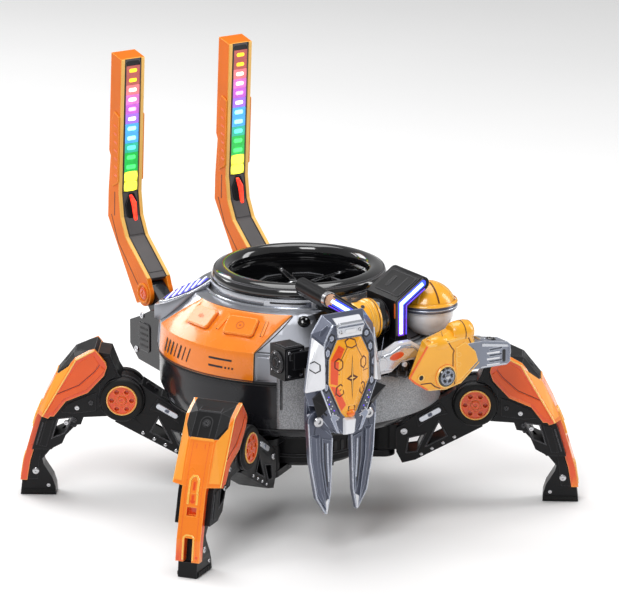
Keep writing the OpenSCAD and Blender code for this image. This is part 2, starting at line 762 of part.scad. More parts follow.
lower_shell();
chassis_hub();
hinge_pins();
top_cover();
control_panel();
play_button();
mode_button();
rim_ring();
inner_collar();
web_frame();
side_vents();
speaker_driver();
battery_pack();
main_board();
cover_screws();
rear_pod();
at_antenna(-1) antenna_shell();  // antenna_left_shell
at_antenna(-1) antenna_lights();  // antenna_left_lights
at_antenna(1) antenna_shell();  // antenna_right_shell
at_antenna(1) antenna_lights();  // antenna_right_lights
light_brackets();
light_strips();
head_frame();
head_drum();
shoulder_dome();
shoulder_hood();
shield_frame();
shield_face();
shield_trim();
left_blade();
right_blade();
cannon_casing();
cannon_muzzle();
cannon_dial();
arm_link();
front_apron();
at_leg(front_left) thigh();  // front_left_thigh
at_leg(front_left) knee_tyre();  // front_left_knee_tyre
at_leg(front_left) knee_hub();  // front_left_knee_hub
at_leg(front_left) shin();  // front_left_shin
at_leg(front_left) armour();  // front_left_armour
at_leg(front_left) knee_cap();  // front_left_knee_cap
at_leg(front_right) thigh();  // front_right_thigh
at_leg(front_right) knee_tyre();  // front_right_knee_tyre
at_leg(front_right) knee_hub();  // front_right_knee_hub
at_leg(front_right) shin();  // front_right_shin
at_leg(front_right) armour();  // front_right_armour
at_leg(front_right) knee_cap();  // front_right_knee_cap
at_leg(rear_left) thigh();  // rear_left_thigh
at_leg(rear_left) knee_tyre();  // rear_left_knee_tyre
at_leg(rear_left) knee_hub();  // rear_left_knee_hub
at_leg(rear_left) shin();  // rear_left_shin
at_leg(rear_left) armour();  // rear_left_armour
at_leg(rear_left) knee_cap();  // rear_left_knee_cap
at_leg(rear_right) thigh();  // rear_right_thigh
at_leg(rear_right) knee_tyre();  // rear_right_knee_tyre
at_leg(rear_right) knee_hub();  // rear_right_knee_hub
at_leg(rear_right) shin();  // rear_right_shin
at_leg(rear_right) armour();  // rear_right_armour
at_leg(rear_right) knee_cap();  // rear_right_knee_cap
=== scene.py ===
"""Walking spider robot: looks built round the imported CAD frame.

Lengths in the piece tables are millimetres in the robot's own layout: x across, y behind (+)
or in front (-) of the body's axis, z above the floor. `at(x, y, z)` turns such a point into
the frame's metres. A Spot is a local frame on a surface: u and v along it, w out of it.
"""
import math

import bmesh
import bpy
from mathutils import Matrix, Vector
from mathutils.bvhtree import BVHTree


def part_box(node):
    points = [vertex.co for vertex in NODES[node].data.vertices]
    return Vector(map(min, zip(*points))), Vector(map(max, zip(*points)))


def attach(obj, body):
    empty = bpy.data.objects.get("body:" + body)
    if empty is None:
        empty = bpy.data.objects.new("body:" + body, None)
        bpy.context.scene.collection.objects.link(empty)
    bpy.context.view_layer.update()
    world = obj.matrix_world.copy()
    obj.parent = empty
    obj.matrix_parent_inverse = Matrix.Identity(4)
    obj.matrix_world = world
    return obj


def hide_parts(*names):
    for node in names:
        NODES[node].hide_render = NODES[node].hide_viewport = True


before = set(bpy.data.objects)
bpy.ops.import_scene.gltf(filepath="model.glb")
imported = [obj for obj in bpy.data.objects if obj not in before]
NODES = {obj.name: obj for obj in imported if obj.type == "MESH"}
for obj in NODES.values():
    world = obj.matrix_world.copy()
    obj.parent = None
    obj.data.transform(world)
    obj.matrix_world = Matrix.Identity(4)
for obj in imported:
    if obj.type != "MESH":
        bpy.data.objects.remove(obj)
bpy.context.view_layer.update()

MM = 0.001
_low, _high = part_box("rim_ring")
BODY_Y = (_low.y + _high.y) / 2 / MM


def at(x, y, z):
    """A point of the robot's layout, in the frame's metres."""
    return Vector((x * MM, (y + BODY_Y) * MM, z * MM))


def polar(radius, degrees, z=0.0):
    """A layout point at an angle round the body's axis."""
    a = math.radians(degrees)
    return Vector((radius * math.cos(a), radius * math.sin(a), z))


class Spot:
    """A local frame in the layout: u and v along a surface, w out of it, in millimetres."""

    def __init__(self, origin, u, v):
        self.origin = Vector(origin)
        self.u = Vector(u).normalized()
        self.w = self.u.cross(Vector(v)).normalized()
        self.v = self.w.cross(self.u)

    def __call__(self, u, v, w):
        return at(*(self.origin + self.u * u + self.v * v + self.w * w))

    def moved(self, u, v, w=0.0):
        spot = Spot(self.origin, self.u, self.v)
        spot.origin = self.origin + self.u * u + self.v * v + self.w * w
        return spot


# ---------------------------------------------------------------------------- materials

def new_material(name):
    material = bpy.data.materials.new(name)
    material.use_nodes = True
    nodes = material.node_tree.nodes
    return material, nodes, material.node_tree.links, nodes["Principled BSDF"]


def noise(nodes, links, scale, detail=3.0, rough=0.5, stretch=None):
    """Noise over the object's own coordinates, in metres."""
    coords = nodes.new("ShaderNodeTexCoord")
    source = coords.outputs["Object"]
    if stretch:
        mapping = nodes.new("ShaderNodeMapping")
        mapping.inputs["Scale"].default_value = stretch
        links.new(source, mapping.inputs["Vector"])
        source = mapping.outputs["Vector"]
    tex = nodes.new("ShaderNodeTexNoise")
    tex.inputs["Scale"].default_value = scale
    tex.inputs["Detail"].default_value = detail
    tex.inputs["Roughness"].default_value = rough
    links.new(source, tex.inputs["Vector"])
    return tex.outputs["Fac"]


def ramp(nodes, links, source, stops):
    """A colour ramp over `source`; stops are (place, colour)."""
    node = nodes.new("ShaderNodeValToRGB")
    elements = node.color_ramp.elements
    while len(elements) < len(stops):
        elements.new(0.5)
    for element, (place, colour) in zip(elements, stops):
        element.position = place
        element.color = (*colour, 1.0)
    links.new(source, node.inputs["Fac"])
    return node.outputs["Color"]


def mix_colour(nodes, links, factor, first, second, blend="MIX"):
    mix = nodes.new("ShaderNodeMix")
    mix.data_type = "RGBA"
    mix.blend_type = blend
    if isinstance(factor, float):
        mix.inputs[0].default_value = factor
    else:
        links.new(factor, mix.inputs[0])
    links.new(first, mix.inputs[6])
    links.new(second, mix.inputs[7])
    return mix.outputs[2]


def shade(colour, factor):
    return tuple(min(1.0, c * factor) for c in colour)


def moulded(name, colour, rough=0.35, variation=0.10, grain=0.05, grain_scale=1400.0,
            metallic=0.0, coat=0.0, speckle=0.0, upright_shade=None, edge_highlight=None, specular=0.5):
    """A moulded or painted surface: mottled colour, fine grain and uneven gloss.

    The colour for faces that stand straight up (`upright_shade`) is painted shade: such faces are
    drawn darker, as if lit only from above. The colour for sharp edges (`edge_highlight`) is a
    painted highlight: such edges are drawn lighter, as if catching the light.
    """
    material, nodes, links, shader = new_material(name)
    cloud = noise(nodes, links, 45.0, detail=5.0)
    base = ramp(nodes, links, cloud, [(0.32, shade(colour, 1 - variation)),
                                      (0.70, shade(colour, 1 + variation))])
    # painted shade: faces that stand straight up blend into the darker upright colour, as if lit
    # only from above
    if upright_shade:
        side = ramp(nodes, links, cloud, [(0.32, shade(upright_shade, 1 - variation)),
                                          (0.70, shade(upright_shade, 1 + variation))])
        geometry = nodes.new("ShaderNodeNewGeometry")
        parts = nodes.new("ShaderNodeSeparateXYZ")
        links.new(geometry.outputs["Normal"], parts.inputs["Vector"])
        size = nodes.new("ShaderNodeMath")
        size.operation = "ABSOLUTE"
        links.new(parts.outputs["Z"], size.inputs[0])
        lean = nodes.new("ShaderNodeMapRange")
        lean.inputs["From Min"].default_value = 0.04
        lean.inputs["From Max"].default_value = 0.16
        links.new(size.outputs[0], lean.inputs["Value"])
        base = mix_colour(nodes, links, lean.outputs["Result"], side, base)
    # painted highlight: sharp edges are blended towards a lighter edge colour, as if catching the
    # light
    if edge_highlight:
        bevel = nodes.new("ShaderNodeBevel")
        bevel.samples = 4
        bevel.inputs["Radius"].default_value = 0.0007
        flat = nodes.new("ShaderNodeNewGeometry")
        dot = nodes.new("ShaderNodeVectorMath")
        dot.operation = "DOT_PRODUCT"
        links.new(bevel.outputs["Normal"], dot.inputs[0])
        links.new(flat.outputs["Normal"], dot.inputs[1])
        edge = nodes.new("ShaderNodeMapRange")
        edge.inputs["From Min"].default_value = 0.995
        edge.inputs["From Max"].default_value = 0.93
        links.new(dot.outputs["Value"], edge.inputs["Value"])
        light = ramp(nodes, links, cloud, [(0.0, edge_highlight), (1.0, shade(edge_highlight, 1.1))])
        base = mix_colour(nodes, links, edge.outputs["Result"], base, light)
    fine = noise(nodes, links, grain_scale, detail=2.0)
    if speckle:
        flakes = ramp(nodes, links, fine, [(0.42, (1 - speckle,) * 3), (0.60, (1.0,) * 3)])
        base = mix_colour(nodes, links, 1.0, base, flakes, blend="MULTIPLY")
    links.new(base, shader.inputs["Base Color"])
    gloss = noise(nodes, links, 120.0, detail=4.0)
    spread = nodes.new("ShaderNodeMapRange")
    spread.inputs["To Min"].default_value = max(0.02, rough * 0.8)
    spread.inputs["To Max"].default_value = min(1.0, rough * 1.25)
    links.new(gloss, spread.inputs["Value"])
    links.new(spread.outputs["Result"], shader.inputs["Roughness"])
    bump = nodes.new("ShaderNodeBump")
    bump.inputs["Strength"].default_value = grain
    bump.inputs["Distance"].default_value = 0.0002
    links.new(fine, bump.inputs["Height"])
    links.new(bump.outputs["Normal"], shader.inputs["Normal"])
    shader.inputs["Metallic"].default_value = metallic
    shader.inputs["Specular IOR Level"].default_value = specular
    shader.inputs["Coat Weight"].default_value = coat
    shader.inputs["Coat Roughness"].default_value = 0.08
    return material


def glowing(name, colour, strength, core=None, scale=260.0):
    """A lit diffuser with an uneven tint and a soft skin."""
    material, nodes, links, shader = new_material(name)
    cloud = noise(nodes, links, scale, detail=1.0)
    tint = ramp(nodes, links, cloud, [(0.35, colour), (0.65, core or shade(colour, 1.15))])
    links.new(tint, shader.inputs["Base Color"])
    links.new(tint, shader.inputs["Emission Color"])
    shader.inputs["Emission Strength"].default_value = strength
    shader.inputs["Roughness"].default_value = 0.25
    return material


def fading(name, stops, low, high, strength):
    """A lit channel whose colour changes with height, from z = low to z = high (mm)."""
    material, nodes, links, shader = new_material(name)
    geometry = nodes.new("ShaderNodeTexCoord")
    parts = nodes.new("ShaderNodeSeparateXYZ")
    links.new(geometry.outputs["Object"], parts.inputs["Vector"])
    span = nodes.new("ShaderNodeMapRange")
    span.inputs["From Min"].default_value = low * MM
    span.inputs["From Max"].default_value = high * MM
    links.new(parts.outputs["Z"], span.inputs["Value"])
    tint = ramp(nodes, links, span.outputs["Result"], stops)
    links.new(tint, shader.inputs["Base Color"])
    links.new(tint, shader.inputs["Emission Color"])
    shader.inputs["Emission Strength"].default_value = strength
    shader.inputs["Roughness"].default_value = 0.25
    return material


# painted shade: the darker colour that the orange's upright faces take
SIDE_SHADE_ORANGE = (0.80, 0.075, 0.004)
MAT = {
    "silver": moulded("silver_paint", (0.30, 0.31, 0.345), rough=0.30, variation=0.035,
                      metallic=0.80, grain=0.03, coat=0.45),
    "bright_silver": moulded("bright_silver", (0.56, 0.58, 0.63), rough=0.22, variation=0.04,
                             metallic=0.8, grain=0.03, coat=0.5),
    "speckled": moulded("speckled_silver", (0.36, 0.37, 0.39), rough=0.42, metallic=0.45,
                        grain=0.2, grain_scale=1500.0, speckle=0.40),
    "graphite": moulded("graphite_shell", (0.014, 0.014, 0.017), rough=0.24, variation=0.04,
                        metallic=0.2, grain=0.05, coat=0.25, specular=0.3),
    "black": moulded("black_plastic", (0.006, 0.006, 0.007), rough=0.34, grain=0.10,
                     edge_highlight=(0.045, 0.045, 0.05), specular=0.22),
    "gloss_black": moulded("gloss_black", (0.006, 0.006, 0.007), rough=0.10, grain=0.01,
                           coat=0.8),
    "line": moulded("dark_line", (0.012, 0.012, 0.014), rough=0.5, grain=0.02),
    "brown_line": moulded("brown_line", (0.10, 0.018, 0.004), rough=0.5, grain=0.02),
    "orange": moulded("orange_plastic", (0.96, 0.225, 0.008), rough=0.28, variation=0.06,
                      coat=0.4, upright_shade=SIDE_SHADE_ORANGE, edge_highlight=(1.0, 0.42, 0.08)),
    "antenna_orange": moulded("antenna_orange", (0.80, 0.165, 0.003), rough=0.36,
                              variation=0.06, edge_highlight=(1.0, 0.42, 0.06), specular=0.2),
    "panel_orange": moulded("panel_orange", (0.96, 0.235, 0.010), rough=0.26, variation=0.06,
                            coat=0.4, edge_highlight=(1.0, 0.45, 0.10)),
    "red_orange": moulded("red_orange", (0.80, 0.070, 0.006), rough=0.28, coat=0.4,
                          edge_highlight=(1.0, 0.25, 0.03)),
    "amber": moulded("amber_plastic", (0.97, 0.40, 0.010), rough=0.25, variation=0.07,
                     coat=0.5, edge_highlight=(1.0, 0.62, 0.14)),
    "gold": moulded("golden_plastic", (0.96, 0.43, 0.018), rough=0.25, variation=0.06,
                    coat=0.5, edge_highlight=(1.0, 0.70, 0.22)),
    "cream": moulded("cream_edge", (0.95, 0.55, 0.13), rough=0.30, variation=0.06, coat=0.3),
    "white": moulded("white_plastic", (0.78, 0.79, 0.83), rough=0.20, variation=0.03,
                     coat=0.6),
    "slate": moulded("slate_plastic", (0.075, 0.085, 0.125), rough=0.30, variation=0.12,
                     metallic=0.35, coat=0.3, edge_highlight=(0.42, 0.46, 0.56)),
    "pale_slate": moulded("pale_slate", (0.28, 0.31, 0.40), rough=0.26, variation=0.10,
                          metallic=0.4, coat=0.3, edge_highlight=(0.7, 0.73, 0.8)),
    "muzzle": moulded("muzzle_grey", (0.23, 0.25, 0.31), rough=0.32, variation=0.08,
                      metallic=0.35, coat=0.2, edge_highlight=(0.62, 0.65, 0.72)),
    "rubber": moulded("tyre_rubber", (0.006, 0.006, 0.006), rough=0.50, grain=0.3,
                      specular=0.25),
    "steel": moulded("pin_steel", (0.55, 0.55, 0.57), rough=0.25, metallic=1.0),
    "copper": moulded("copper_band", (0.60, 0.36, 0.24), rough=0.25, metallic=1.0),
    "cap_grey": moulded("cap_grey", (0.011, 0.011, 0.012), rough=0.42, specular=0.15,
                        grain=0.12, edge_highlight=(0.14, 0.14, 0.15)),
    "insert_grey": moulded("insert_grey", (0.085, 0.078, 0.08), rough=0.40, variation=0.15,
                           grain=0.1),
    "board": moulded("board_green", (0.02, 0.14, 0.05), rough=0.4),
    "wrap": moulded("battery_wrap", (0.04, 0.08, 0.28), rough=0.35),
    "cyan_light": glowing("cyan_light", (0.36, 0.75, 1.0), 2.6, (0.62, 0.90, 1.0)),
    "blue_edge": fading("blue_edge", [(0.0, (0.16, 0.03, 0.55)), (0.35, (0.09, 0.03, 0.75)),
                                      (0.8, (0.04, 0.07, 0.95))], 116, 150, 1.3),
    "vent_blue": glowing("vent_blue", (0.035, 0.03, 0.42), 0.35, (0.05, 0.05, 0.55)),
    "vent_white": glowing("vent_white", (0.62, 0.68, 0.95), 0.7, (0.85, 0.88, 1.0)),
    "led_green": glowing("led_green", (0.02, 0.75, 0.18), 2.5),
    "led_red": glowing("led_red", (0.9, 0.03, 0.02), 2.5),
    "orange_mark": moulded("orange_mark", (0.62, 0.12, 0.01), rough=0.35),
    "violet_edge": glowing("violet_edge", (0.16, 0.04, 0.70), 0.8, (0.10, 0.06, 0.85)),
    "red_lamp": glowing("red_lamp", (0.85, 0.02, 0.01), 1.6, (1.0, 0.05, 0.02)),
    # lighter and darker copies of the orange: the lighter one is the painted highlight of the
    # armour's bevels and also colours the band under the cap; the darker one is the painted shade
    # of the armour's side walls and also colours the hub dots
    "bright_orange": moulded("bright_orange", (1.0, 0.36, 0.035), 0.32, 0.06),
    "deep_orange": moulded("deep_orange", (0.82, 0.105, 0.012), 0.34, 0.06),
}

NODE_MATERIAL = {
    "lower_shell": "graphite", "chassis_hub": "black", "hinge_pins": "steel",
    "top_cover": "silver", "control_panel": "panel_orange", "play_button": "panel_orange",
    "mode_button": "panel_orange", "rim_ring": "gloss_black", "inner_collar": "bright_silver",
    "web_frame": "gloss_black", "side_vents": "silver", "speaker_driver": "black",
    "battery_pack": "wrap", "main_board": "board", "cover_screws": "gloss_black",
    "rear_pod": "graphite", "antenna_left_shell": "antenna_orange",
    "antenna_left_lights": "insert_grey", "antenna_right_shell": "antenna_orange",
    "antenna_right_lights": "insert_grey", "light_brackets": "black",
    "light_strips": "blue_edge", "head_frame": "black", "head_drum": "gold",
    "shoulder_dome": "white", "shoulder_hood": "gold", "shield_frame": "slate",
    "shield_face": "amber", "shield_trim": "white", "left_blade": "slate",
    "right_blade": "slate", "cannon_casing": "gold", "cannon_muzzle": "muzzle",
    "cannon_dial": "muzzle", "arm_link": "white", "front_apron": "speckled",
}
LEG_MATERIAL = {"thigh": "black", "knee_tyre": "rubber", "knee_hub": "red_orange",
                "shin": "black", "armour": "orange", "knee_cap": "cap_grey"}
LEG_ANGLES = {"front_left": 215, "front_right": -35, "rear_left": 145, "rear_right": 35}
# Nodes whose CAD edges are left as they are
SHARP = {"speaker_driver", "battery_pack", "main_board", "web_frame", "shoulder_hood",
         "shoulder_dome", "rim_ring"}


def soften(obj, width_mm=0.35, segments=2, angle=32):
    """Rounds the edges of a CAD node or a piece by a small fillet."""
    weld = obj.modifiers.new("weld", "WELD")
    weld.merge_threshold = 1e-6
    bevel = obj.modifiers.new("edges", "BEVEL")
    bevel.width = width_mm * MM
    bevel.segments = segments
    bevel.limit_method = "ANGLE"
    bevel.angle_limit = math.radians(angle)
    bevel.use_clamp_overlap = True


# ---------------------------------------------------------------------------- mesh tools

def mesh_piece(name, body, verts, faces, material):
    """A piece from points in metres, which rides on a body."""
    mesh = bpy.data.meshes.new(name)
    mesh.from_pydata([tuple(v) for v in verts], [], faces)
    shape = bmesh.new()
    shape.from_mesh(mesh)
    bmesh.ops.recalc_face_normals(shape, faces=shape.faces)
    shape.to_mesh(mesh)
    shape.free()
    obj = bpy.data.objects.new(name, mesh)
    bpy.context.scene.collection.objects.link(obj)
    mesh.materials.append(MAT[material])
    if body:
        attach(obj, body)
    return obj


def prism(name, body, low, high, material, edge=0.0, segments=2):
    """A closed piece between two matching loops of points, with its edges filleted."""
    n = len(low)
    faces = [tuple(range(n)), tuple(range(n, 2 * n))]
    faces += [(i, (i + 1) % n, n + (i + 1) % n, n + i) for i in range(n)]
    obj = mesh_piece(name, body, low + high, faces, material)
    if edge:
        soften(obj, edge, segments)
    return obj


def ribbon(name, body, rows, material, closed=False):
    """A bar through rows of four corners each, capped at both ends unless closed."""
    verts = [corner for row in rows for corner in row]
    faces = []
    for i in range(len(rows) - 1):
        a, b = 4 * i, 4 * i + 4
        faces += [(a + j, a + (j + 1) % 4, b + (j + 1) % 4, b + j) for j in range(4)]
    if not closed:
        faces += [(0, 1, 2, 3), tuple(len(verts) - 4 + j for j in range(4))]
    return mesh_piece(name, body, verts, faces, material)


def shade_smooth(obj, sharp_angle):
    """Smooth shading, kept sharp where faces meet at more than an angle in degrees."""
    for face in obj.data.polygons:
        face.use_smooth = True
    split = obj.modifiers.new("sharp", "EDGE_SPLIT")
    split.split_angle = math.radians(sharp_angle)


def plate(name, body, spot, outline, w0, w1, material, edge=0.0, segments=2, top=None):
    """A plate cut to `outline`, from w0 to w1 above the spot's plane.

    `top` shrinks or moves the upper outline: a list of points as long as `outline`.
    """
    low = [spot(u, v, w0) for u, v in outline]
    high = [spot(u, v, w1) for u, v in top or outline]
    return prism(name, body, low, high, material, edge, segments)


def wrapped(name, body, place, outline_rows, w0, w1, material, edge=0.0):
    """A slab over a curved surface: rows of (u, v) points across it, raised w0 to w1."""
    rows = len(outline_rows)
    cols = len(outline_rows[0])
    verts = []
    for w in (w0, w1):
        verts += [place(u, v, w) for row in outline_rows for u, v in row]
    base = rows * cols

    def vert(layer, i, j):
        return layer * base + i * cols + j

    faces = []
    for layer in (0, 1):
        for i in range(rows - 1):
            for j in range(cols - 1):
                faces.append((vert(layer, i, j), vert(layer, i, j + 1),
                              vert(layer, i + 1, j + 1), vert(layer, i + 1, j)))
    for i in range(rows - 1):
        for j in (0, cols - 1):
            faces.append((vert(0, i, j), vert(0, i + 1, j), vert(1, i + 1, j), vert(1, i, j)))
    for j in range(cols - 1):
        for i in (0, rows - 1):
            faces.append((vert(0, i, j), vert(0, i, j + 1), vert(1, i, j + 1), vert(1, i, j)))
    obj = mesh_piece(name, body, verts, faces, material)
    if edge:
        soften(obj, edge, 2)
    return obj


def strip_rows(points, half, steps=6):
    """Rows for `wrapped`: a band of the given half width along a line of (u, v) points."""
    line = []
    for (u0, v0), (u1, v1) in zip(points, points[1:]):
        line += [(u0 + (u1 - u0) * k / steps, v0 + (v1 - v0) * k / steps)
                 for k in range(steps)]
    line.append(points[-1])
    rows = []
    for i, (u, v) in enumerate(line):
        before, after = line[max(0, i - 1)], line[min(len(line) - 1, i + 1)]
        du, dv = after[0] - before[0], after[1] - before[1]
        length = math.hypot(du, dv) or 1.0
        nu, nv = -dv / length * half, du / length * half
        rows.append([(u + nu, v + nv), (u - nu, v - nv)])
    return rows


def line_on(name, body, place, points, half, material, raise_by=0.06, sink=0.3, steps=6):
    """A thin line lying on a surface."""
    return wrapped(name, body, place, strip_rows(points, half, steps), -sink, raise_by,
                   material)


def stack(name, body, spot, rings, material, steps=40, caps=(True, True)):
    """Rings about the spot's w axis, joined in order. A ring is (radius, w); the radius may
    be a function of the angle in degrees."""
    verts = []
    for radius, w in rings:
        for k in range(steps):
            a = 360.0 * k / steps
            r = radius(a) if callable(radius) else radius
            verts.append(spot(r * math.cos(math.radians(a)), r * math.sin(math.radians(a)), w))
    faces = []
    for i in range(len(rings) - 1):
        for k in range(steps):
            n = (k + 1) % steps
            faces.append((i * steps + k, i * steps + n, (i + 1) * steps + n,
                          (i + 1) * steps + k))
    if caps[0]:
        faces.append(tuple(range(steps)))
    if caps[1]:
        last = (len(rings) - 1) * steps
        faces.append(tuple(range(last, last + steps)))
    obj = mesh_piece(name, body, verts, faces, material)
    shade_smooth(obj, 35)
    return obj


def hexagon(radius):
    """Radius of a hexagon at an angle."""
    return lambda a: radius * math.cos(math.radians(30)) / math.cos(
        math.radians((a % 60) - 30))


def cross(radius, arm):
    """Radius of a cross-shaped recess at an angle."""
    def shape(a):
        t = math.radians((a + 45) % 90 - 45)
        limit = arm / max(1e-6, abs(math.sin(t)))
        return max(arm * 1.15, min(radius, limit))
    return shape


def screw(name, body, spot, r, h, material="steel", recess="hex"):
    """A domed screw head with a hexagonal or cross recess."""
    hole = hexagon(r * 0.5) if recess == "hex" else cross(r * 0.62, r * 0.16)
    stack(name, body, spot, [(r, -0.3), (r, h * 0.55), (r * 0.92, h * 0.85), (r * 0.72, h),
                             (hole, h), (hole, h * 0.35)], material, steps=48)


def rod(name, body, start, end, r, material, collars=()):
    """A round rod between two layout points, with collars at shares of its length."""
    start, end = Vector(start), Vector(end)
    run = end - start
    side = run.cross(Vector((0.0, 0.0, 1.0)))
    if side.length < 1e-6:
        side = Vector((1.0, 0.0, 0.0))
    spot = Spot(start, side, run.cross(side))
    length = run.length if spot.w.dot(run) > 0 else -run.length
    rings = [(r * 0.8, 0.0), (r, 0.04 * length)]
    for share in collars:
        rings += [(r, (share - 0.03) * length), (r * 1.3, (share - 0.025) * length),
                  (r * 1.3, (share + 0.025) * length), (r, (share + 0.03) * length)]
    rings += [(r, 0.96 * length), (r * 0.8, length)]
    return stack(name, body, spot, rings, material, steps=24)


def rounded_box(w, h, r, steps=4):
    """Outline of a rounded rectangle about (0, 0)."""
    points = []
    for cx, cy, start in ((1, 1, 0), (-1, 1, 90), (-1, -1, 180), (1, -1, 270)):
        for k in range(steps + 1):
            a = math.radians(start + 90.0 * k / steps)
            points.append((cx * (w / 2 - r) + r * math.cos(a),
                           cy * (h / 2 - r) + r * math.sin(a)))
    return points


def moved(outline, du, dv, turn=0.0, scale=1.0):
    c, s = math.cos(math.radians(turn)), math.sin(math.radians(turn))
    return [(du + scale * (u * c - v * s), dv + scale * (u * s + v * c)) for u, v in outline]


def dress_nodes():
    """Gives every CAD node its material and, where it has hard edges, a small fillet."""
    names = dict(NODE_MATERIAL)
    for leg in LEG_ANGLES:
        for part, material in LEG_MATERIAL.items():
            names[leg + "_" + part] = material
    for name, material in names.items():
        obj = NODES[name]
        obj.data.materials.clear()
        obj.data.materials.append(MAT[material])
        if name not in SHARP:
            soften(obj, 0.4 if "blade" not in name else 0.3)


dress_nodes()

# ---------------------------------------------------------------------------- cover

DOME_TOP_R, DOME_TOP_Z = 63.0, 130.5
CREASE_R, CREASE_Z = 83.0, 112.0
DOME_TILT = math.atan2(DOME_TOP_Z - CREASE_Z, CREASE_R - DOME_TOP_R)
DOME_SLOPE = math.tan(DOME_TILT)
PANEL_MID = 190.0
PANEL_RAISE = 0.62
ARC_R = 73.0


def on_slope(u, r, w):
    """The cover's sloping band: u mm round from the panel's middle, at radius r."""
    angle = PANEL_MID + math.degrees(u / ARC_R)
    z = DOME_TOP_Z - (r - DOME_TOP_R) * DOME_SLOPE
    return at(*polar(r + w * math.sin(DOME_TILT), angle, z + w * math.cos(DOME_TILT)))


def on_skirt(u, z, w):
    """The cover's skirt: u mm round from the panel's middle, at height z."""
    angle = PANEL_MID + math.degrees(u / CREASE_R)
    return at(*polar(CREASE_R + (CREASE_Z - z) * 1.5 / 17 + w, angle, z))


def arc_at(angle, radius=ARC_R):
    """Distance round from the panel's middle to an angle."""
    return math.radians(angle - PANEL_MID) * radius


def slope_spot(r, angle, w=0.0):
    """A Spot on the slope: u round the cover, v down the slope."""
    a = math.radians(angle)
    out = Vector((math.cos(a), math.sin(a), 0))
    down = out * math.cos(DOME_TILT) - Vector((0, 0, math.sin(DOME_TILT)))
    normal = out * math.sin(DOME_TILT) + Vector((0, 0, math.cos(DOME_TILT)))
    z = DOME_TOP_Z - (r - DOME_TOP_R) * DOME_SLOPE
    spot = Spot(out * r + Vector((0, 0, z)) + normal * w, down.cross(normal), down)
    if spot.w.dot(normal) < 0:
        spot = Spot(spot.origin, -spot.u, spot.v)
    return spot


def ring_band(name, body, profile, material, start=0.0, end=360.0, steps=120):
    """A band of the given (r, z) section round the body's axis, between two angles."""
    full = abs(end - start) >= 360
    count = steps if full else steps + 1
    verts = []
    for k in range(count):
        angle = start + (end - start) * k / steps
        verts += [at(*polar(r, angle, z)) for r, z in profile]
    n = len(profile)
    faces = []
    for k in range(steps):
        a, b = k * n, ((k + 1) % count) * n
        faces += [(a + i, a + (i + 1) % n, b + (i + 1) % n, b + i) for i in range(n)]
    if not full:
        faces += [tuple(range(n)), tuple(range((count - 1) * n, count * n))]
    obj = mesh_piece(name, body, verts, faces, material)
    shade_smooth(obj, 28)
    return obj


def build_rim():
    """The black rim ring with its seams, and the silver collar under it."""
    tube = []
    for k in range(40):
        a = math.radians(360 * k / 40)
        swell = 5.75 + 0.25 * math.cos(3 * a)
        tube.append((46.25 + swell * math.cos(a), 139.4 + swell * math.sin(a)))
    ring = ring_band("rim_ring_tube", "body", tube, "gloss_black", steps=160)
    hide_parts("rim_ring")
    ring_band("rim_ring_foot", "body", [(42, 131.9), (50.4, 131.9), (50.4, 136.4), (42, 136.4)],
              "gloss_black")
    ring_band("rim_ring_bead", "body", [(50.6, 143.4), (51.1, 142.9), (51.3, 142.2),
                                        (50.4, 143.0)], "cap_grey")
    # collar: stepped silver band, cut by a dark slot towards the front left
    ring_band("collar_groove", "body", [(53.0, 132.0), (54.6, 132.0), (54.6, 132.25),
                                        (53.0, 132.3)], "line")
    ring_band("collar_lip", "body", [(54.7, 131.9), (56.6, 131.8), (56.3, 132.7),
                                     (55.1, 132.9)], "bright_silver", 152, 268)
    ring_band("collar_lip_right", "body", [(54.7, 131.9), (56.6, 131.8), (56.3, 132.7),
                                           (55.1, 132.9)], "bright_silver", 272, 388)
    for i, (a0, a1) in enumerate(((215, 247), (293, 325))):
        ring_band("collar_step_%d" % i, "body",
                  [(52.9, 132.3), (54.2, 132.3), (54.0, 136.0), (53.1, 137.0)],
                  "bright_silver", a0, a1, 40)
        ring_band("collar_slot_%d" % i, "body",
                  [(53.4, 134.6), (54.35, 134.6), (54.3, 135.6), (53.4, 135.6)],
                  "line", a0 + 4, a1 - 5, 36)
        end = ring_band("collar_end_%d" % i, "body",
                        [(53.0, 132.2), (55.0, 132.2), (54.6, 137.2), (53.0, 137.4)],
                        "white", a1 - 1.5, a1 + 0.8, 6)
        soften(end, 0.2, 1)


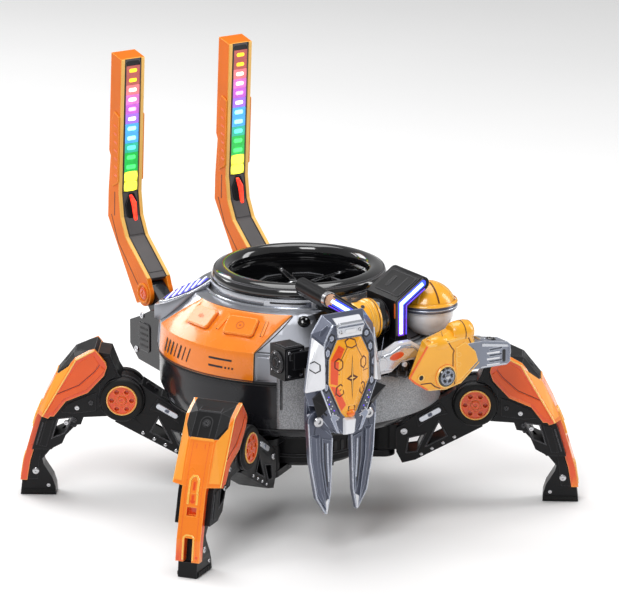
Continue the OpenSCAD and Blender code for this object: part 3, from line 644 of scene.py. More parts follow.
def build_web():
    """Open cover of the loudspeaker: bright-edged arms, panels between them, LEDs."""
    spokes = 6
    for i in range(spokes):
        angle = 15 + i * 360 / spokes
        out = polar(1, angle)
        side = polar(1, angle + 90)
        spot = Spot(out * 12 + Vector((0, 0, 130.1)), out, side)
        plate("web_arm_%d" % i, "body", spot,
              [(0, -2.3), (9, -1.5), (14, -2.4), (28.4, -1.3), (28.4, 1.3), (14, 2.4),
               (9, 1.5), (0, 2.3)], 0, 1.5, "gloss_black", 0.3)
        for s in (-1, 1):
            plate("web_edge_%d_%d" % (i, s), "body", spot.moved(0, s * 1.9, 1.2),
                  [(1, -0.22), (27.5, -0.22 - s * 0.7), (27.5, 0.22 - s * 0.7), (1, 0.22)],
                  0, 0.5, "steel")
        turned = angle + 30
        out2 = polar(1, turned)
        spot2 = Spot(out2 * 25 + Vector((0, 0, 130.2)), out2, polar(1, turned + 90))
        plate("web_crook_%d" % i, "body", spot2,
              [(-2.0, -9.5), (-0.6, -9.5), (2.6, 0), (-0.6, 9.5), (-2.0, 9.5), (0.9, 0)],
              0, 1.7, "cap_grey", 0.25)
        plate("web_glint_%d" % i, "body", spot2.moved(0, 0, 1.7),
              [(-0.7, -7.5), (1.9, 0), (-0.7, 7.5), (1.4, 0)], 0, 0.2, "bright_silver")
        screw("web_screw_%d" % i, "body",
              Spot(out * 36 + Vector((0, 0, 131.6)), out, side), 1.3, 0.9, "steel", "cross")
    hub = Spot((0, 0, 130.4), (1, 0, 0), (0, 1, 0))
    stack("web_hub", "body", hub, [(9.6, -3), (9.6, 0.6), (8.8, 1.4), (6.2, 1.6), (5.8, 0.9),
                                   (3.2, 0.9), (2.6, 2.6), (0.6, 3.1)], "gloss_black")
    stack("web_hub_ring", "body", hub, [(6.3, 1.2), (6.9, 2.0), (7.5, 1.2)], "steel")
    # indicator lights on the inner wall
    for name, angle, z, colour in (("a", 168, 133.4, "led_green"), ("b", 173, 131.6, "led_green"),
                                   ("c", 163, 134.0, "led_red"), ("d", 178, 129.6, "led_red"),
                                   ("e", 158, 133.0, "led_green")):
        spot = Spot(polar(38.9, angle, z), polar(1, angle + 90), (0, 0, 1))
        stack("web_led_" + name, "body", spot,
              [(0.9, 1.5), (0.9, -0.3), (0.5, -0.8)], colour, steps=12)


def build_cover():
    """Lines and trims of the silver cover and its orange panel."""
    body = "body"
    # seam lines of the panel's pocket, drawn dark as painted shadow where the pocket's rim shades
    # the panel
    line_on("panel_seam_top", body, on_slope,
            [(arc_at(173.5), 63.4), (arc_at(190), 62.9), (arc_at(212), 62.9),
             (arc_at(233.6), 63.4)], 0.45, "brown_line", 0.1)
    line_on("panel_seam_right", body, on_slope,
            [(arc_at(234.3), 63.2), (arc_at(219.3), 83.0)], 0.3, "line", 0.1)
    line_on("panel_seam_right_low", body, on_skirt,
            [(arc_at(219.3, CREASE_R), 112), (arc_at(219.3, CREASE_R), 95.2)], 0.28, "line", 0.1)
    line_on("panel_seam_left", body, on_slope,
            [(arc_at(172.6), 63.2), (arc_at(157.6), 83.0)], 0.3, "line", 0.1)
    line_on("panel_seam_left_low", body, on_skirt,
            [(arc_at(157.7, CREASE_R), 112), (arc_at(157.7, CREASE_R), 95.2)], 0.28, "line", 0.1)
    # slanted ribs beside the pads, each with its shaded foot
    for i, (a0, r0, a1, r1) in enumerate(((200.0, 66.0, 197.6, 74.0), (221.8, 66.6, 220.6, 74.4))):
        line_on("panel_rib_%d" % i, body, on_slope, [(arc_at(a0), r0), (arc_at(a1), r1)],
                0.75, "panel_orange", PANEL_RAISE + 0.7)
        line_on("panel_rib_shade_%d" % i, body, on_slope,
                [(arc_at(a0) - 1.0, r0 - 0.2), (arc_at(a1) - 1.0, r1 + 0.2)], 0.32,
                "brown_line", PANEL_RAISE + 0.08)
    # generic printed marks on the panel's lower band: slanted bars, two lines and dots
    z_mid = 103.6
    for i, wide in enumerate((1.5, 1.5, 1.5, 0.8, 1.5, 0.8, 0.8)):
        u = arc_at(168.6, CREASE_R) + i * 4.4
        line_on("panel_bar_%d" % i, body, on_skirt,
                [(u + 1.6, z_mid + 4.2), (u - 1.6, z_mid - 4.2)], wide / 2, "line",
                PANEL_RAISE + 0.12)
    for i, (start, length, z) in enumerate(((198.5, 16.0, 106.2), (198.5, 10.0, 101.6))):
        u = arc_at(start, CREASE_R)
        line_on("panel_rule_%d" % i, body, on_skirt, [(u, z), (u + length, z)], 0.55, "line",
                PANEL_RAISE + 0.12)
    for i in range(3):
        u = arc_at(206.4, CREASE_R) + i * 2.3
        line_on("panel_dot_%d" % i, body, on_skirt, [(u, 101.6), (u + 1.1, 101.6)], 0.55,
                "line", PANEL_RAISE + 0.12, steps=2)
    # line along the panel's foot
    line_on("panel_foot", body, on_skirt,
            [(arc_at(158, CREASE_R), 95.6), (arc_at(188, CREASE_R), 95.6),
             (arc_at(219, CREASE_R), 95.6)], 0.35, "brown_line", PANEL_RAISE + 0.1, steps=14)
    # silver front corner of the cover: crease trim and stepped skirt
    for side, (a0, a1) in enumerate(((220.4, 249.5), (290.5, 321))):
        line_on("cover_crease_%d" % side, body, on_slope,
                [(arc_at(a0), 82.2), (arc_at((a0 + a1) / 2), 82.2), (arc_at(a1), 82.2)],
                0.28, "line", 0.08, steps=10)
        rows = [[(arc_at(a0 + (a1 - a0) * k / 12, CREASE_R), 110.4),
                 (arc_at(a0 + (a1 - a0) * k / 12, CREASE_R), 96.6)] for k in range(13)]
        wrapped("cover_skirt_plate_%d" % side, body, on_skirt, rows, -0.2, 0.7, "silver", 0.5)
    # back half: wide skirt plates with slots
    for k in range(5):
        a0 = -34 + k * 37.5 - 2
        a1 = a0 + 32
        if k == 4:
            a1 = 151
        rows = [[(arc_at(a0 + (a1 - a0) * j / 10, CREASE_R), 109.6),
                 (arc_at(a0 + (a1 - a0) * j / 10, CREASE_R), 97.2)] for j in range(11)]
        wrapped("cover_back_plate_%d" % k, body, on_skirt, rows, -0.2, 0.55, "silver", 0.4)
    ring_band("cover_hem", body, [(84.2, 94.4), (85.0, 94.4), (84.9, 95.6), (84.2, 95.6)],
              "line")
    # screws on the dome
    for i, angle in enumerate((240, 309)):
        spot = slope_spot(66.2, angle)
        stack("dome_screw_seat_%d" % i, body, spot, [(3.7, -0.2), (3.7, 0.5), (3.3, 0.9),
                                                     (3.1, 0.6)], "gloss_black", caps=(True, False))
        stack("dome_screw_%d" % i, body, spot,
              [(2.9, 0), (2.9, 1.6), (2.6, 2.3), (1.8, 2.7), (cross(1.9, 0.45), 2.75),
               (cross(1.9, 0.45), 1.7)], "gloss_black", steps=48)
        for s, (du, dv) in enumerate(((-1.3, -0.6), (0.9, 0.9))):
            stack("dome_screw_glint_%d_%d" % (i, s), body, spot.moved(du, dv, 2.2),
                  [(0.55, 0), (0.5, 0.5), (0.2, 0.65)], "white", steps=10)


def build_pads():
    """Raised rims and icons of the two push pads."""
    for name, angle, icon in (("play", 209, "ring"), ("mode", 184.5, "bars")):
        body = name + "_button"
        spot = slope_spot(70.7, angle, 1.7)
        rim = plate(name + "_pad_top", body, spot,
                    rounded_box(19.2, 11.8, 2.4), -0.1, 0.5, "panel_orange", 0.35, 3)
        # painted shade: a wider red-orange plate shows as a dark rim round the pad's lower edges
        plate(name + "_pad_skirt", body, spot.moved(0, 0, -1.5),
              rounded_box(20.4, 13.0, 2.8), 0, 0.62, "red_orange")
        if icon == "ring":
            stack(name + "_icon", body, spot, [(2.6, 0.5), (2.6, 0.62), (2.1, 0.62), (2.1, 0.5)],
                  "orange_mark", steps=32, caps=(False, False))
            stack(name + "_icon_dot", body, spot, [(0.8, 0.4), (0.8, 0.62), (0.4, 0.66)],
                  "orange_mark", steps=16)
        else:
            for k in (-1, 0, 1):
                plate("%s_icon_%d" % (name, k), body, spot.moved(k * 1.8, 0),
                      rounded_box(0.8, 3.2 - abs(k), 0.3, 2), 0.4, 0.62, "orange_mark")


def vent_point(side):
    """Surface of a side vent: u outwards along its axis, v across it, in millimetres."""
    angle = 150 if side < 0 else 30
    out = polar(1, angle)
    along = polar(1, angle + 90)
    slope = math.radians(24)
    axis = out * math.cos(slope) - Vector((0, 0, math.sin(slope)))
    origin = out * 55 + Vector((0, 0, 134.5))
    return Spot(origin, axis, along)


def lens(half, radius, scale=1.0, count=12):
    """Outline of a lens between two arcs, pointed along v... centred on (0, 0)."""
    off = radius - half
    reach = math.sqrt(radius * radius - off * off)
    points = []
    for s in (1, -1):
        for k in range(count):
            u = -reach * s + 2 * reach * s * k / count
            points.append((u * scale, s * (math.sqrt(radius * radius - u * u) - off) * scale))
    return points


def build_vents():
    """Louvred, lit vents on the cover's shoulders."""
    for side, label in ((-1, "left"), (1, "right")):
        spot = vent_point(side).moved(13.0, 0)
        frame_outline = lens(10.2, 22.5)
        frame_piece = plate("vent_frame_" + label, "body", spot, frame_outline, -0.6, 0.9,
                            "bright_silver", 0.6, 3, top=lens(10.2, 22.5, 0.97))
        plate("vent_lip_" + label, "body", spot, lens(10.2, 22.5, 0.83), 0.3, 1.15, "line")
        plate("vent_field_" + label, "body", spot, lens(10.2, 22.5, 0.79), 0.3, 1.25,
              "vent_blue")
        for k in range(6):
            u = -10.5 + k * 4.2
            reach = math.sqrt(22.5 ** 2 - u * u) - 12.3
            tall = max(1.2, reach * 0.79 - 1.6)
            lean = 2.6
            plate("vent_louvre_%s_%d" % (label, k), "body", spot,
                  [(u - 0.8 - lean, -tall), (u + 0.8 - lean, -tall), (u + 0.8 + lean, tall),
                   (u - 0.8 + lean, tall)], 1.1, 1.75, "vent_white", 0.25)


build_rim()
build_web()
build_cover()
build_pads()
build_vents()

# ---------------------------------------------------------------------------- surface tools

_trees = {}


def tree_of(node):
    if node not in _trees:
        obj = NODES[node]
        points = [obj.matrix_world @ v.co for v in obj.data.vertices]
        _trees[node] = BVHTree.FromPolygons(points, [tuple(p.vertices) for p in
                                                     obj.data.polygons])
    return _trees[node]


def on_node(node, spot, u, v, far=60.0):
    """Where the line through (u, v) of the spot first meets a node, and its normal there."""
    start = spot(u, v, far)
    hit, normal, _, _ = tree_of(node).ray_cast(start, -spot.w, 2 * far * MM)
    if hit is None:
        return None, spot.w
    if normal.dot(spot.w) < 0:
        normal = -normal
    return hit, normal


def engrave(name, body, node, spot, points, half, material="line", raise_by=0.07, step=1.2,
            closed=False):
    """A thin line that follows a node's surface, drawn in the spot's plane."""
    if closed:
        points = list(points) + [points[0]]
    rows = []
    last = None
    for (u0, v0), (u1, v1) in zip(points, points[1:]):
        length = math.hypot(u1 - u0, v1 - v0) or 1e-6
        nu, nv = -(v1 - v0) / length * half, (u1 - u0) / length * half
        count = max(1, int(length / step))
        for k in range(count + 1):
            u = u0 + (u1 - u0) * k / count
            v = v0 + (v1 - v0) * k / count
            row = []
            for s in (1, -1):
                hit, normal = on_node(node, spot, u + s * nu, v + s * nv)
                if hit is None:
                    hit, normal = last or (spot(u + s * nu, v + s * nv, 0), spot.w)
                last = (hit, normal)
                row.append((hit - normal * 0.25 * MM, hit + normal * raise_by * MM))
            rows.append(row)
    corners = [(low_a, high_a, high_b, low_b) for (low_a, high_a), (low_b, high_b) in rows]
    return ribbon(name, body, corners, material, closed)


def inlay(name, body, node, spot, outline, raise_by, material, edge=0.15, sink=0.4):
    """A thin tile laid on a node's surface."""
    surface = []
    normals = Vector((0, 0, 0))
    for u, v in outline:
        hit, normal = on_node(node, spot, u, v)
        if hit is None:
            hit = spot(u, v, 0)
        normals += normal
        surface.append(hit)
    mean = normals.normalized()
    high = [p + mean * raise_by * MM for p in surface]
    low = [p - mean * sink * MM for p in surface]
    return prism(name, body, low, high, material, edge)


def surface_spot(node, spot, u, v):
    """A Spot lying on a node's surface."""
    hit, normal = on_node(node, spot, u, v)
    if hit is None:
        return spot.moved(u, v)
    origin = Vector((hit.x / MM, hit.y / MM - BODY_Y, hit.z / MM))
    side = spot.v.cross(normal)
    return Spot(origin, side, normal.cross(side))


def hex_outline(u, v, r, turn=30.0, squash=1.0):
    return [(u + r * squash * math.cos(math.radians(turn + 60 * k)),
             v + r * math.sin(math.radians(turn + 60 * k))) for k in range(6)]


def band_along(name, body, spot, path, half, w0, w1, material, edge=0.0):
    """A flat band of constant half width along a bent path in the spot's plane."""
    left, right = [], []
    for i, (u, v) in enumerate(path):
        ways = []
        if i:
            ways.append((u - path[i - 1][0], v - path[i - 1][1]))
        if i < len(path) - 1:
            ways.append((path[i + 1][0] - u, path[i + 1][1] - v))
        units = [(a / math.hypot(a, b), b / math.hypot(a, b)) for a, b in ways]
        tu = sum(a for a, _ in units)
        tv = sum(b for _, b in units)
        size = math.hypot(tu, tv)
        tu, tv = tu / size, tv / size
        stretch = 1.0 / max(0.4, tu * units[0][0] + tv * units[0][1])
        left.append((u - tv * half * stretch, v + tu * half * stretch))
        right.append((u + tv * half * stretch, v - tu * half * stretch))
    return plate(name, body, spot, left + right[::-1], w0, w1, material, edge)


# ---------------------------------------------------------------------------- antennas

ANTENNA_X = 38.3
LEDS = [("amber", 1.0), ("amber", 1.0), ("pink", 1.0), ("rose", 1.0), ("magenta", 1.0),
        ("violet", 1.0), ("cyan", 1.1), ("cyan", 1.1), ("teal", 1.1), ("green", 1.1),
        ("green", 1.2), ("yellow", 1.9), ("yellow", 1.9)]
LED_COLOURS = {
    "amber": ((0.30, 0.07, 0.06), (1.0, 0.50, 0.02)),
    "pink": ((0.55, 0.14, 0.16), (1.0, 0.85, 0.62)),
    "rose": ((0.50, 0.13, 0.40), (1.0, 0.90, 0.98)),
    "magenta": ((0.40, 0.09, 0.45), (0.80, 0.36, 0.95)),
    "violet": ((0.26, 0.12, 0.55), (0.92, 0.90, 1.0)),
    "cyan": ((0.06, 0.30, 0.65), (0.30, 0.80, 1.0)),
    "teal": ((0.03, 0.34, 0.24), (0.10, 0.85, 0.62)),
    "green": ((0.02, 0.35, 0.06), (0.06, 0.90, 0.14)),
    "yellow": ((0.45, 0.45, 0.03), (1.0, 0.93, 0.06)),
}
for _name, (_glow, _core) in LED_COLOURS.items():
    MAT["glow_" + _name] = glowing("glow_" + _name, _glow, 0.9)
    MAT["core_" + _name] = glowing("core_" + _name, _core, 1.5)


def tilted(x, start, end):
    """A Spot on a front face that runs between two (y, z) points; v runs up it."""
    rise = Vector((0, end[0] - start[0], end[1] - start[1]))
    return Spot((x, start[0], start[1]), (1, 0, 0), rise), rise.length


def build_antenna(label, s):
    """Light bar, pointer, inserts, rims, hinge trim and back of one antenna."""
    body = "antenna_" + label
    x = s * ANTENNA_X
    tag = "antenna_%s_" % label
    face, length = tilted(x, (132.5, 164.5), (127.4, 249.5))
    # lit bar: tinted cells with bright cores
    plate(tag + "bar_bed", body, face, [(-4.7, 0.4), (4.7, 0.4), (4.7, length - 2.6),
                                        (3.9, length - 1.4), (-3.9, length - 1.4),
                                        (-4.7, length - 2.6)], -0.3, 0.25, "line", 0.2)
    pitch = (length - 5.5) / len(LEDS)
    for i, (colour, size) in enumerate(LEDS):
        v = length - 4.4 - pitch * (i + 0.5)
        cell = face.moved(0, v)
        plate("%sglow_%d" % (tag, i), body, cell,
                      rounded_box(9.7, pitch * 0.99, 0.5), 0.1, 0.4, "glow_" + colour)
        wide, tall = (5.6, 2.5) if size < 1.5 else (7.9, 5.9)
        plate("%score_%d" % (tag, i), body, cell,
              rounded_box(wide * min(size, 1.2), tall * min(size, 1.1), tall * 0.42),
              0.35, 0.75, "core_" + colour, 0.2,
              top=rounded_box(wide * 0.86 * min(size, 1.2), tall * 0.8 * min(size, 1.1),
                              tall * 0.3))
    for u in (-5.0, 5.0):
        plate("%sbar_rail_%d" % (tag, u > 0), body, face,
              [(u - 0.2, 1), (u + 0.2, 1), (u + 0.2, length - 3), (u - 0.2, length - 3)],
              0, 0.75, "insert_grey", 0.12)
    # red pointer below the bar
    lower, _ = tilted(x, (130.5, 150.0), (132.5, 164.5))
    plate(tag + "pointer_bed", body, lower, [(-1.2, -5), (3.6, -4.4), (4.3, 9), (2.5, 14.2),
                                             (-0.6, 14.6), (-4.2, 7.5), (-3.6, 1.0)],
          -0.4, 0.9, "black", 0.3)
    plate(tag + "pointer", body, lower, [(0.6, -3.6), (3.1, -3.4), (3.4, 8.6), (0.7, 13.6),
                                         (-1.5, 13.4), (-0.2, 6.5)], 0.7, 2.0, "red_lamp", 0.4,
          top=[(1.1, -2.6), (2.7, -2.4), (2.9, 8.0), (0.6, 12.4), (-0.7, 12.4), (0.5, 6.4)])
    # lower insert: two grey panels with a seam
    foot, reach = tilted(x, (124.6, 138.6), (130.5, 150.0))
    plate(tag + "insert_mid", body, foot, [(-4.9, 1.0), (4.9, 1.0), (4.9, reach - 0.6),
                                           (-4.9, reach - 0.6)], -0.3, 0.45, "insert_grey", 0.3)
    shin, run = tilted(x, (101.6, 120.6), (124.6, 138.6))
    plate(tag + "insert_low", body, shin, [(-4.9, 1.0), (4.9, 1.0), (4.9, run - 0.7),
                                           (-4.9, run - 0.7)], -0.6, 0.3, "insert_grey", 0.3)
    # bright front rims on both sides, and their dark seam
    front = [(99.2, 118.5), (124.6, 138.6), (130.5, 150.0), (132.5, 164.5), (127.4, 249.5)]
    for e in (-1, 1):
        side = Spot((x + e * 6.9, 0, 0), (0, 1, 0), (0, 0, 1))
        band_along("%srim_%d" % (tag, e > 0), body, side, front, 0.55, -1.15, 1.15, "cream",
                   0.35)
        seam = Spot((x + e * 5.45, 0, 0), (0, 1, 0), (0, 0, 1))
        band_along("%sseam_%d" % (tag, e > 0), body, seam, front, 0.3, -0.22, 0.22, "line")
        # grip cheek along the wide part, with notches
        cheek = Spot((x + e * 8.25, 0, 0), (0, e, 0), (0, 0, 1))

        def yz(points, e=e):
            return [(p[0] * e, p[1]) for p in points]

        plate("%scheek_%d" % (tag, e > 0), body, cheek,
              yz([(131.6, 172), (138.5, 168), (139.6, 172), (138.6, 210), (135.5, 216),
                  (129.4, 213.5)]), -0.3, 0.85, "antenna_orange", 0.45)
        for k in range(7):
            z = 175 + k * 5.2
            plate("%snotch_%d_%d" % (tag, e > 0, k), body, cheek,
                  yz([(132.4, z), (135.6, z + 0.9), (135.6, z + 2.1), (132.3, z + 1.2)]),
                  0.5, 1.02, "red_orange", 0.12)
        plate("%sside_line_%d" % (tag, e > 0), body, cheek,
              yz([(136.9, 150), (137.7, 150), (137.2, 165), (136.4, 165)]), -0.2, 0.08,
              "brown_line")
        band_along("%sshoulder_%d" % (tag, e > 0), body, cheek,
                   yz([(110, 112.5), (133, 134), (141, 150)]), 0.3, -0.2, 0.1, "brown_line")
        # hinge boss and its cross-head screw
        hinge = Spot((x + e * 8.25, 103.5, 108.5), (0, e, 0), (0, 0, 1))
        stack("%sboss_%d" % (tag, e > 0), body, hinge,
              [(6.6, -0.3), (6.4, 0.6), (5.6, 0.9), (4.9, 0.5), (4.6, -0.2)], "antenna_orange",
              caps=(False, False))
        screw("%sscrew_%d" % (tag, e > 0), body, hinge, 3.7, 0.8, "red_orange", "cross")
    # ribs, a spine and a vent down the back
    back, _ = tilted(x, (143.2, 190.0), (139.3, 252.0))
    rear = Spot(back.origin, (-1, 0, 0), back.v)
    for k in range(4):
        plate("%sback_rib_%d" % (tag, k), body, rear.moved(0, 8 + k * 13),
              rounded_box(9.5, 7.5, 1.2), -0.3, 0.7, "antenna_orange", 0.4)
    plate(tag + "back_spine", body, rear, [(-1.0, 2), (1.0, 2), (1.0, 58), (-1.0, 58)],
          -0.3, 1.1, "cap_grey", 0.3)
    low_back = Spot((x, 145.0, 156.0), (-1, 0, 0), (0, -0.05, 1))
    plate(tag + "back_vent_bed", body, low_back, rounded_box(10, 11, 1.5), -0.8, 0.35,
          "cap_grey", 0.3)
    for k in range(4):
        plate("%sback_vent_%d" % (tag, k), body, low_back.moved(0, -3.9 + k * 2.6),
              rounded_box(8, 1.1, 0.5), 0.2, 0.75, "line", 0.15)


for _label, _side in (("left", -1), ("right", 1)):
    build_antenna(_label, _side)


# ---------------------------------------------------------------------------- head

BRACKET_FRONT = -84.6
BRACKET_PATH = [(32.4, 147.5), (17.3, 137.4), (17.3, 116.0)]


def build_brackets():
    """Lit channels, lids and trim of the two bent brackets."""
    front = Spot((0, BRACKET_FRONT, 0), (1, 0, 0), (0, 0, 1))
    for label, s in (("left", -1), ("right", 1)):
        path = [(s * u, v) for u, v in BRACKET_PATH]
        low = [path[0], path[1], (path[2][0], 119.0)]
        core = band_along("strip_core_" + label, "body", front, low, 1.0, -0.9, 0.15,
                          "cyan_light", 0.2)
        band_along("strip_bed_" + label, "body", front, low, 1.95, -1.4, -0.35, "blue_edge")
        (far_u, far_v), (bend_u, bend_v), _ = path
        outer = [(far_u + s * 1.2, far_v - 3.2), (bend_u + s * 3.3, bend_v - 1.4),
                 (bend_u + s * 3.3, 118.4)]
        band_along("bracket_rim_%s_0" % label, "body", front, outer, 0.4, -0.3, 0.3,
                   "violet_edge", 0.15)
        inner = [(far_u, far_v + 3.3), (bend_u - s * 3.0, bend_v + 1.6),
                 (bend_u - s * 3.2, 118.4)]
        band_along("bracket_rim_%s_1" % label, "body", front, inner, 0.5, -0.3, 0.35,
                   "insert_grey", 0.2)
        # lighter top skin of the upper limb and a red edge down the inside
        mid = Vector((s * 24.85, -70.0, 142.45))
        slope = Vector((s * 15.1, 0, 10.1)).normalized()
        top = Spot(mid, slope, (0, 1, 0)) if s > 0 else Spot(mid, -slope, (0, 1, 0))
        lid = top.moved(0, 0, 4.2)
        plate("bracket_lid_" + label, "body", lid, rounded_box(16.5, 26.5, 2.0), -0.4, 0.55,
              "cap_grey", 0.5, 3)
        plate("bracket_lid_groove_" + label, "body", lid.moved(0, -6), rounded_box(13, 1.0, 0.4),
              0.3, 0.62, "line")
        plate("bracket_lid_slot_" + label, "body", lid.moved(0, 4), rounded_box(9, 3.4, 1.2),
              0.3, 0.75, "black", 0.2)
        inside = Spot((s * 13.05, -81.5, 127.0), (0, s, 0), (0, 0, 1))
        plate("bracket_edge_" + label, "body", inside.moved(-2.4, 6.5), rounded_box(1.2, 9, 0.4),
              -0.2, 0.35, "red_orange", 0.15)
    # a round tube runs back from the left limb, closed by a bright band
    tube_back = (-34.6, -55.5, 150.6)
    tube_front = (-32.6, -81.6, 147.6)
    band_front = (-32.4, -84.4, 147.4)
    rod("left_tube", "body", tube_back, tube_front, 4.4, "black")
    rod("left_tube_band", "body", tube_front, band_front, 4.6, "steel")
    rod("left_tube_band_edge", "body", (-32.4, -84.2, 147.4), (-32.3, -84.9, 147.3), 3.9,
        "copper")


def build_drum():
    """Golden drum with its flange, collar and small screws."""
    axis = Spot((0, -72, 127.5), (0, 1, 0), (0, 0, 1))
    drum = stack("drum_body", "body", axis,
                 [(8.0, -13.0), (11.1, -13.0), (11.15, -9.5), (10.7, -9.2), (10.7, -8.8),
                  (11.1, -8.5), (11.1, -1.6), (11.7, -1.1), (11.7, 0.4), (12.3, 0.9),
                  (12.45, 1.6), (12.45, 3.6), (12.0, 4.6), (11.0, 5.0), (8.0, 5.0)],
                 "gold", steps=72)
    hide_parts("head_drum")
    stack("drum_line", "body", axis, [(12.5, 2.4), (12.55, 2.7), (12.5, 3.0)], "brown_line",
          steps=72, caps=(False, False))
    stack("drum_collar", "body", axis, [(11.2, 5.2), (11.4, 6.0), (11.4, 9.4), (10.9, 10.3)],
          "gloss_black", steps=72)
    stack("drum_collar_ring", "body", axis, [(11.45, 7.2), (11.6, 7.5), (11.6, 8.0),
                                             (11.45, 8.3)], "cap_grey", steps=72,
          caps=(False, False))
    for k in range(3):
        a = math.radians(118 + k * 62)
        around = Vector((0, math.cos(a), math.sin(a)))
        spot = Spot(Vector((-5.0, -72, 127.5)) + around * 11.0, (1, 0, 0),
                    around.cross(Vector((1, 0, 0))))
        if spot.w.dot(around) < 0:
            spot = Spot(spot.origin, spot.u, -spot.v)
        screw("drum_screw_%d" % k, "body", spot, 1.2, 0.7, "cap_grey", "hex")


SEAM_SECTION = ((-0.5, -0.2), (-0.35, 0.35), (0.35, 0.35), (0.5, -0.2))


def build_shoulder():
    """White dome with its band, under the golden hood and its seams."""
    centre = Vector((44, -72, 127))
    up = Spot(centre, (1, 0, 0), (0, 1, 0))
    dome = stack("shoulder_ball", "body", up,
                 [(15.55 * math.cos(math.radians(t)), 15.55 * math.sin(math.radians(t)))
                  for t in range(-62, 16, 6)], "white", steps=72)
    stack("visor_band", "body", up,
          [(15.6, 1.6), (17.3, 1.6), (17.75, 2.4), (17.6, 4.6), (17.2, 5.2), (15.5, 5.2)],
          "slate", steps=96)
    stack("visor_line", "body", up, [(17.78, 3.0), (17.95, 3.4), (17.75, 3.8)], "pale_slate",
          steps=96, caps=(False, False))
    stack("hood_ridge", "body", up,
          [(17.62, 5.2), (17.9, 5.6), (17.5, 6.6), (16.9, 7.0)], "gold", steps=96,
          caps=(False, False))
    for i, turn in enumerate((215, 262, 310)):
        arc = []
        for t in range(26, 84, 6):
            arc.append(polar(17.55 * math.cos(math.radians(t)), turn,
                             17.55 * math.sin(math.radians(t))) + centre)
        sideways = polar(1, turn + 90)
        rows = []
        for p in arc:
            out = (p - centre).normalized()
            rows.append([at(*(p + sideways * w + out * h)) for w, h in SEAM_SECTION])
        ribbon("hood_seam_%d" % i, "body", rows, "brown_line" if i == 1 else "gold")


def build_head_frame():
    """Servo box of the shield arm, with its drive disc, and the head's cross beam."""
    body = "body"
    side = Spot((-67.0, -82, 114.7), (0, -1, 0), (0, 0, 1))
    stack("servo_disc", body, side, [(6.9, -0.3), (6.9, 0.9), (6.3, 1.4), (5.2, 1.4), (4.9, 0.8),
                                     (3.0, 0.8), (2.7, 1.6), (1.0, 1.9)], "cap_grey")
    for k in range(5):
        a = math.radians(72 * k + 20)
        stack("servo_bolt_%d" % k, body, side.moved(5.8 * math.cos(a), 5.8 * math.sin(a), 1.0),
              [(0.6, 0), (0.6, 0.9), (0.4, 1.1)], "steel", steps=10)
    front = Spot((-60.2, -90, 114.7), (1, 0, 0), (0, 0, 1))
    plate("servo_face", body, front, rounded_box(11.4, 17.5, 1.6), -0.3, 0.5, "black", 0.4)
    plate("servo_label", body, front.moved(0, 4.4), rounded_box(7.5, 4.5, 0.7), 0.3, 0.72,
          "cap_grey", 0.2)
    for du in (-4, 4):
        for dv in (-7, 7):
            screw("servo_screw_%d_%d" % (du > 0, dv > 0), body, front.moved(du, dv, 0.5), 1.0,
                  0.5, "steel", "hex")
    roof = Spot((-60.2, -82, 124.5), (1, 0, 0), (0, 1, 0))
    plate("servo_roof", body, roof, rounded_box(11, 13, 1.5), -0.3, 0.5, "cap_grey", 0.3)
    chin = Spot((0, -86, 104.7), (1, 0, 0), (0, 0, 1))
    plate("head_plate", body, chin.moved(0, 0), [(-25, -6.8), (25, -6.8), (25, 4), (20, 6.8),
                                                 (-12, 6.8), (-16, 3), (-25, 3)], -0.3, 0.7,
          "cap_grey", 0.5)
    for k in range(6):
        plate("head_slot_%d" % k, body, chin.moved(3 + k * 3.4, -2.6), rounded_box(1.4, 5.6, 0.6),
              0.5, 0.85, "line")
    boss = Spot((-3, -88.5, 106), (1, 0, 0), (0, 0, 1))
    stack("arm_root_ring", body, boss.moved(0, 0, -1), [(6.6, 0), (6.6, 0.8), (6.1, 1.2)],
          "steel")


build_brackets()
build_drum()
build_shoulder()
build_head_frame()


# ---------------------------------------------------------------------------- shield

SHIELD_X = -37.0
SHIELD_SPOT = Spot((SHIELD_X, -112, 0), (1, 0, 0), (0, 0, 1))


